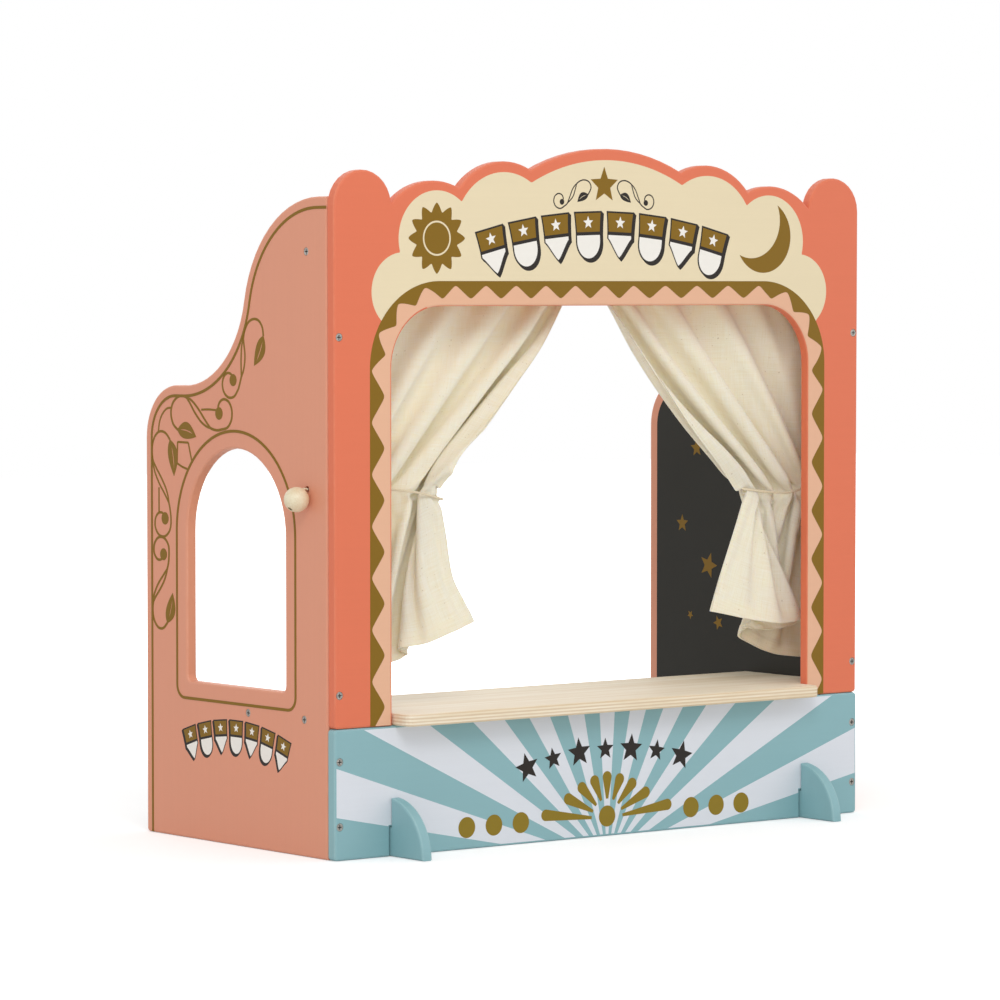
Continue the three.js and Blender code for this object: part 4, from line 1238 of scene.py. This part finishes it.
def settleCurtain(curtain):
    # cloth simulation: the top is held, the waist is first spread in depth and then drawn to the
    # wall, and the hem is drawn softly; then the sheet comes to rest under its own weight
    hung, drawn, held = hangCurtain(curtain)
    rows, columns = hung.shape[:2]
    mesh = bpy.data.meshes.new("settling")
    mesh.from_pydata((toFrame(curtain, hung).reshape(-1, 3) * mm).tolist(), [],
                     gridQuads(rows, columns))
    sheet = bpy.data.objects.new("settling", mesh)
    bpy.context.scene.collection.objects.link(sheet)
    spread, slid = hung.copy(), drawn.copy()
    spread[..., 1], slid[..., 1] = drawn[..., 1], hung[..., 1]
    pull, across = settling["pull"], np.linspace(0, 1, columns)
    sheet.shape_key_add(name="hung")
    for name, points, first, last in (("spread", spread, 1, int(0.4 * pull)),
                                      ("slid", slid, int(0.15 * pull), pull)):
        key = sheet.shape_key_add(name=name)
        key.data.foreach_set("co", (toFrame(curtain, points) * mm).astype(np.float32).ravel())
        for frameNumber, value in ((first, 0.0), (last, 1.0)):
            key.value = value
            key.keyframe_insert("value", frame=frameNumber)
    grip = sheet.vertex_groups.new(name="grip")
    guide = np.interp(across ** 3, [0, 1], settling["guide"])
    for column in range(columns):
        points = (np.arange(rows) * columns + column).tolist()
        hold = settling["cornerHold" if column > 0.97 * columns else "hemHold"]
        grip.add(points, float(guide[column]), "REPLACE")
        grip.add(points[-2:], hold, "REPLACE")
        grip.add([points[0], points[held[column]]], 1.0, "REPLACE")
    cotton = sheet.modifiers.new("cotton", "CLOTH")
    values = cotton.settings
    values.quality, values.mass = settling["quality"], settling["mass"]
    values.air_damping, values.bending_damping = settling["air"], settling["bendDamping"]
    values.tension_stiffness = values.compression_stiffness = settling["stretch"]
    values.shear_stiffness, values.bending_stiffness = settling["shear"], settling["bend"]
    values.tension_damping = values.compression_damping = values.shear_damping = settling["damping"]
    values.vertex_group_mass = grip.name
    contact = cotton.collision_settings
    contact.use_collision = False
    contact.use_self_collision, contact.self_distance_min = True, settling["gap"] * mm
    contact.self_friction, contact.collision_quality = 2, 2
    cotton.point_cache.frame_start, cotton.point_cache.frame_end = 1, settling["frames"]
    for frameNumber in range(1, settling["frames"] + 1):
        bpy.context.scene.frame_set(frameNumber)
    settled = sheet.evaluated_get(bpy.context.evaluated_depsgraph_get()).to_mesh()
    points = np.empty(3 * rows * columns, np.float32)
    settled.vertices.foreach_get("co", points)
    bpy.data.objects.remove(sheet)
    bpy.context.scene.frame_set(1)
    points = points.reshape(rows, columns, 3).astype(float) / mm
    lengths = np.linalg.norm(np.diff(points, axis=0), axis=2).sum(0) / sheetLengths(curtain, across)
    print(curtain["name"], "curtain settled, its columns stretched by",
          np.round(lengths[[0, columns // 2, -1]], 3))
    return points


def edgeShift(curtain, held):
    # sag between the seam and the waist less tuck below it, growing with the cube of the way across
    row = np.arange(cloth["rows"])[:, None]
    sag = knotValue(curtain["sag"], np.clip(row / held, 0, 1))
    tuck = knotValue(curtain["tuck"], np.clip((row - held) / (cloth["rows"] - 1 - held), 0, 1))
    return (sag - tuck) * np.linspace(0, 1, cloth["columns"]) ** 3


def hugCord(curtain, points):
    # under the tie-back's cord the cloth is pressed inside the cord's loop
    end = curtain["waistReach"] + tie["endGap"]
    share = np.clip((cloth["inner"] - curtain["side"] * points[..., 0]) / end, 0, 1)
    inLoop = np.interp(share, *zip((0, 0.03), *routeShares))
    limit = tie["depth"] * inLoop - tie["radius"] - tie["press"]
    depth = points[..., 1] - frontY - rod["y"]
    near = np.exp(-((points[..., 2] - knotValue(curtain["cordZ"], share)) / tie["nearby"]) ** 2)
    limit = np.maximum(limit, 1.0) + tie["release"] * (1 - near)
    pressed = points.copy()
    pressed[..., 1] = np.clip(depth, -limit, limit) + frontY + rod["y"]
    return pressed


def clothShell(points, thickness):
    # two skins half the thickness to either side of a sheet of points, joined round the rim
    rows, columns = points.shape[:2]
    normal = np.cross(np.gradient(points, axis=1), np.gradient(points, axis=0))
    normal /= np.maximum(np.linalg.norm(normal, axis=-1, keepdims=True), 1e-9)
    offset = normal * thickness[..., None] / 2
    index = np.arange(rows * columns).reshape(rows, columns)
    rim = np.concatenate([index[0, :-1], index[:-1, -1], index[-1, :0:-1], index[:0:-1, 0]])
    other, second = np.roll(rim, -1), rows * columns
    front = np.array(gridQuads(rows, columns))
    faces = front[:, ::-1].tolist() + (front + second).tolist()
    faces += np.stack([rim, other, other + second, rim + second], -1).tolist()
    return np.concatenate([(points + offset).reshape(-1, 3), (points - offset).reshape(-1, 3)]), faces


def rodPocket(curtain, across, seamZ):
    # rows of the pocket, up behind the rod, over it and down its front to the seam: a circle that
    # flattens into the seam's waves at both ends, puckered in small uneven gathers
    count, depth = pocket["puckers"]
    turn = np.linspace(0, 1, pocket["rows"] + 1)[:-1, None]
    angle = -math.pi / 2 + 2 * math.pi * turn
    gathers = np.sin(2 * math.pi * (count * across + 0.5 * np.sin(11 * across)))
    radius = pocket["radius"] + depth * (gathers * np.sin(math.pi * turn) ** 2)
    blend = np.clip(7 * np.minimum(turn, 1 - turn), 0, 1)
    aside = radius * np.cos(angle) * blend + topRipple(across, curtain["side"]) * (1 - blend * 0.8)
    height = np.maximum(rod["z"] + radius * np.sin(angle), seamZ)
    reach = np.broadcast_to(topReach(across), height.shape)
    return toFrame(curtain, np.stack([reach, aside, height], -1))


def stepUp(inwards):
    # 0 to 1 over the width in which a hem gets thicker
    return np.clip(inwards, 0, cloth["foldStep"]) / cloth["foldStep"]


def dressCurtain(curtain, coarse):
    # the settled sheet on a finer grid, below its pocket; hems are thicker
    across = np.linspace(0, 1, cloth["fineColumns"])
    down = np.linspace(0, 1, cloth["fineRows"])
    rows, columns = coarse.shape[:2]
    softened = smoothed(np.swapaxes(coarse, 0, 1).reshape(columns, -1), cloth["soften"])
    softened = softened.reshape(columns, rows, 3)
    softened[[0, -1]] = np.swapaxes(coarse, 0, 1)[[0, -1]]
    fine = hugCord(curtain, smoothRows(np.swapaxes(smoothRows(softened, across), 0, 1), down))
    farthest = cloth["inner"] - cloth["thickness"]
    fine[..., 0] = np.clip(fine[..., 0], -farthest, farthest)
    points = np.concatenate([rodPocket(curtain, across, fine[0, :, 2].mean() + 0.2), fine])
    steps = np.linalg.norm(np.diff(points, axis=0), axis=2).mean(1)[:pocket["rows"]]
    sheetLength, width = sheetLengths(curtain, across), cloth["flatWidth"]
    pocketLength = (np.cumsum(steps) - steps.sum())[:, None] + 0 * sheetLength
    length = np.concatenate([pocketLength, sheetLength * down[:, None]])
    toEdge = np.minimum(across, 1 - across)[None] * width
    folded = np.maximum(stepUp(length - (sheetLength - cloth["hemFold"])),
                        cloth["sideShare"] * stepUp(cloth["sideFold"] - toEdge))
    thickness = cloth["thickness"] + (cloth["hemThickness"] - cloth["thickness"]) * folded
    uv = np.stack(np.broadcast_arrays(across[None] * width, length), -1).reshape(-1, 2) * mm
    return clothShell(points, thickness), np.concatenate([uv, uv])


cloth["flatWidth"] = float(lengthsAlong(hangCurtain(curtains[0])[0][0])[-1])
for curtain in curtains:
    drawn, held = hangCurtain(curtain)[1:]
    coarse = settleCurtain(curtain)
    coarse[..., 0] -= curtain["side"] * edgeShift(curtain, held)
    shell, uv = dressCurtain(curtain, coarse)
    name = curtain["name"] + "_curtain"
    piece = makePiece(name + "_cloth", shell, curtain["name"] + "_curtain_body",
                      calico, smooth=True, turnOut=False, uv=uv)
    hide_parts(name)
    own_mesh(piece)
    flatLength = np.mean(curtain["lengths"]) + pocket["round"]
    print(name, "hung, flat size", round(cloth["flatWidth"], 1), "by", round(flatLength, 1))


# tie-backs, bead cords and beads

strandShares = 0.46, 0.56  # of a cord's radius: how far out a strand runs, and its own radius


def tieBackRoute(curtain):
    # out of the wall's hole, round the waist and back
    strandGap = tie["radius"] + tie["strandGap"]
    depth, end = tie["depth"], curtain["waistReach"] + tie["endGap"]
    out = [(end * along, -depth * aside) for along, aside in routeShares]
    home = [(reach, -aside) for reach, aside in out][::-1]
    start = [(reach, -strandGap)
             for reach in (-tie["inHole"], -tie["inHole"] / 2, 2 * tie["strandGap"])]
    route = np.array(start + out + home + [(r, -a) for r, a in start][::-1])
    share = np.clip(route[:, 0] / end, 0, 1)
    knots = np.stack([curtain["side"] * (cloth["inner"] - route[:, 0]),
                      tie["hole"][0] + route[:, 1] + (rod["y"] - tie["hole"][0]) * share + frontY,
                      knotValue(curtain["cordZ"], share)], -1)
    return resample(smoothCurve(knots, 16), 520)


def twistedCord(path, radius, strands, lay, sides):
    # strands wound as helices round a path: each is a round section carried along its helix
    along = lengthsAlong(path)
    tangent = np.gradient(path, axis=0)
    tangent /= np.linalg.norm(tangent, axis=1, keepdims=True)
    upwards = np.array([0.0, 0.0, 1.0])
    first = np.cross(tangent, upwards)
    first /= np.linalg.norm(first, axis=1, keepdims=True)
    second = np.cross(first, tangent)
    parts, uvs = [], []
    offset, thickness = radius * strandShares[0], radius * strandShares[1]
    around = np.linspace(0, 2 * math.pi, sides + 1)[:-1]
    for strand in range(strands):
        phase = along / lay * 2 * math.pi + strand * 2 * math.pi / strands
        centre = path + offset * (np.cos(phase)[:, None] * first + np.sin(phase)[:, None] * second)
        ring = (np.cos(around)[None, :, None] * first[:, None]
                + np.sin(around)[None, :, None] * second[:, None])
        points = centre[:, None] + thickness * ring
        faces = gridQuads(len(path), sides, False, True)
        count = len(path) * sides
        faces += [list(range(sides)), list(range(count - 1, count - sides - 1, -1))]
        parts.append((points, faces))
        uv = np.stack(np.broadcast_arrays(around * thickness * mm, along[:, None] * mm), -1)
        uvs.append(uv.reshape(-1, 2))
    return joinParts(parts), np.concatenate(uvs)


# half: the walls' outer faces; drop: of its centre below the hole; tilt: of its bore, in degrees;
# lip: steps in and down from the sphere to the bore; bend: how far over the bore the cord bends in;
# reach: how far past the centre it ends
bead = {"radius": 9.75, "bore": 2.0, "wallGap": 0.3, "drop": 7.6, "tilt": 50, "half": 270,
        "lip": [(-0.35, 0.12), (-0.5, 0.45)], "bend": 1.7, "reach": 5}
beadCord = {"radius": 0.85, "lay": 5.0, "sides": 8}


def beadFrame(side):
    # the bead's centre beside the wall, and the direction of its bore
    tilt = math.radians(bead["tilt"])
    axis = np.array([side * math.cos(tilt), 0, -math.sin(tilt)])
    centre = np.array([side * (bead["half"] + bead["wallGap"] + bead["radius"]),
                       tie["hole"][0] + frontY, tie["hole"][1] - bead["drop"]])
    return centre, axis


def beadShape(side):
    # a sphere's profile from one bore rim to the other, rounded into the bore, turned on its axis
    centre, axis = beadFrame(side)
    rim = math.asin(bead["bore"] / bead["radius"])
    turn = np.linspace(rim * 1.25, math.pi - rim * 1.25, 48)
    outside = np.stack([bead["radius"] * np.sin(turn), bead["radius"] * np.cos(turn)], -1)
    lip = outside[-1] + np.array(bead["lip"])
    bore = np.stack([np.full(10, bead["bore"]), np.linspace(lip[-1][1], -lip[-1][1], 10)], -1)
    profile = np.concatenate([outside, lip, bore, (lip * [1, -1])[::-1]])
    across = np.array([0, 1.0, 0])
    other = np.cross(axis, across)
    angle = np.linspace(0, 2 * math.pi, 65)[:-1]
    ring = np.cos(angle)[:, None] * across + np.sin(angle)[:, None] * other
    points = centre + profile[:, None, :1] * ring[None] + profile[:, None, 1:] * axis
    return points, gridQuads(len(profile), 64, True, True)


def beadCordRoute(side, aside):
    # from the hole's mouth, over a small bend, into the bead's bore
    centre, axis = beadFrame(side)
    mouth = np.array([side * bead["half"], tie["hole"][0] + frontY, tie["hole"][1]])
    boreTop = centre - axis * bead["radius"]
    bend = boreTop - axis * bead["bend"]
    t = np.linspace(0, 1, 14)[:, None]
    curve = mouth * (1 - t) ** 2 + 2 * bend * t * (1 - t) + boreTop * t ** 2
    straight = boreTop + axis * np.linspace(0, bead["radius"] + bead["reach"], 16)[1:, None]
    return resample(np.concatenate([curve, straight]) + [0, aside, 0], 60)


for curtain in curtains:
    side, name = curtain["side"], curtain["name"]
    route = tieBackRoute(curtain)
    part, uv = twistedCord(route, tie["radius"], tie["strands"], tie["lay"], tie["sides"])
    tieBack = makePiece(name + "_tieback_cord", part, name + "_curtain_body",
                        cordCotton, smooth=True, uv=uv)
    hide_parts(name + "_tieback")
    doubled = [twistedCord(beadCordRoute(side, aside), beadCord["radius"], tie["strands"],
                           beadCord["lay"], beadCord["sides"])
               for aside in (-beadCord["radius"], beadCord["radius"])]
    ends = makePiece(name + "_bead_cords", joinParts([p for p, _ in doubled]), name + "_bead_body",
                     cordCotton, smooth=True,
                     uv=np.concatenate([u for _, u in doubled]))
    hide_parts(name + "_bead_cord")
    ball = makePiece(name + "_wood_bead", beadShape(side), name + "_bead_body",
                     beadWood, smooth=True)
    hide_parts(name + "_bead")
    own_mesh(tieBack)
    length = float(lengthsAlong(route)[-1]) * mm
    print(name, "tie-back length", round(length, 4))
print("cords and beads made")


# floor, light and camera

# in metres; the floor's own light, which only the camera sees, grows with the way from the object
floor = {"size": 12, "z": -0.0002, "white": (0.86, 0.86, 0.86, 1),
         "glow": (0.32, 1.0), "glowReach": (0.45, 1.5)}
mesh = bpy.data.meshes.new("floor")
half = floor["size"] / 2
mesh.from_pydata([(x * half, y * half, floor["z"]) for x, y in ((-1, -1), (1, -1), (1, 1), (-1, 1))],
                 [], [(0, 1, 2, 3)])
floorPiece = bpy.data.objects.new("floor", mesh)
bpy.context.scene.collection.objects.link(floorPiece)
material = bpy.data.materials.new("paleFloor")
material.use_nodes = True
tree = material.node_tree
tree.nodes.clear()
matte = addNode(tree, "ShaderNodeBsdfDiffuse", {"Color": floor["white"]})
glow = addNode(tree, "ShaderNodeEmission", {"Color": (1, 1, 1, 1)})
away = addNode(tree, "ShaderNodeVectorMath", operation="LENGTH")
strength = rangeTo(tree, away.outputs["Value"], *floor["glowReach"], *floor["glow"])
wire(tree, (objectSpot(tree), away.inputs[0]), (strength, glow.inputs["Strength"]))
seen = addNode(tree, "ShaderNodeLightPath")
both = addNode(tree, "ShaderNodeAddShader")
pick = addNode(tree, "ShaderNodeMixShader")
output = addNode(tree, "ShaderNodeOutputMaterial")
wire(tree, (matte.outputs[0], both.inputs[0]), (glow.outputs[0], both.inputs[1]),
     (seen.outputs["Is Camera Ray"], pick.inputs[0]), (matte.outputs[0], pick.inputs[1]),
     (both.outputs[0], pick.inputs[2]), (pick.outputs[0], output.inputs[0]))
mesh.materials.append(material)

# sky: strength of the world's light; lamps: watts, size and place, all aimed at the same point
light = {"sky": 0.68, "aim": (0, 0, 0.25), "lamps": {
    "keyLamp": (31.0, 1.4, (-1.5, -2.2, 2.3)),
    "fillLamp": (9.0, 2.2, (2.6, -1.6, 1.4)),
    "rearLamp": (12.0, 2.0, (0.6, 2.8, 1.5))}}
world = bpy.data.worlds.new("studio")
bpy.context.scene.world = world
world.use_nodes = True
tree = world.node_tree
tree.nodes.clear()
soft = addNode(tree, "ShaderNodeBackground", {"Color": (1, 1, 1, 1), "Strength": light["sky"]})
bright = addNode(tree, "ShaderNodeBackground", {"Color": (1, 1, 1, 1), "Strength": 1.0})
seen = addNode(tree, "ShaderNodeLightPath")
shows = maths(tree, "MAXIMUM", seen.outputs["Is Camera Ray"], seen.outputs["Is Glossy Ray"])
shows = maths(tree, "MAXIMUM", shows, seen.outputs["Is Transmission Ray"])
pick = addNode(tree, "ShaderNodeMixShader")
output = addNode(tree, "ShaderNodeOutputWorld")
wire(tree, (shows, pick.inputs[0]), (soft.outputs[0], pick.inputs[1]),
     (bright.outputs[0], pick.inputs[2]), (pick.outputs[0], output.inputs[0]))
for name, (watts, size, spot) in light["lamps"].items():
    lamp = bpy.data.lights.new(name, "AREA")
    lamp.energy, lamp.size = watts, size
    holder = bpy.data.objects.new(name, lamp)
    bpy.context.scene.collection.objects.link(holder)
    aim = np.array(light["aim"]) - spot
    yaw, tilt = math.atan2(aim[0], aim[1]), math.atan2(aim[2], math.hypot(aim[0], aim[1]))
    holder.location = spot
    holder.rotation_euler = (math.pi / 2 + tilt, 0, -yaw)

view = {"place": (-2.37113, -2.97638, 0.44186), "yaw": 38.2568, "pitch": -2.6548,
        "lens": 167.955, "sensor": 36}
camera = bpy.data.objects.new("camera", bpy.data.cameras.new("camera"))
bpy.context.scene.collection.objects.link(camera)
camera.location = view["place"]
camera.rotation_euler = (math.radians(90 + view["pitch"]), 0, -math.radians(view["yaw"]))
camera.data.lens, camera.data.sensor_width = view["lens"], view["sensor"]
bpy.context.scene.camera = camera
bpy.context.scene.view_settings.view_transform = "Standard"
print("floor, light and camera set")
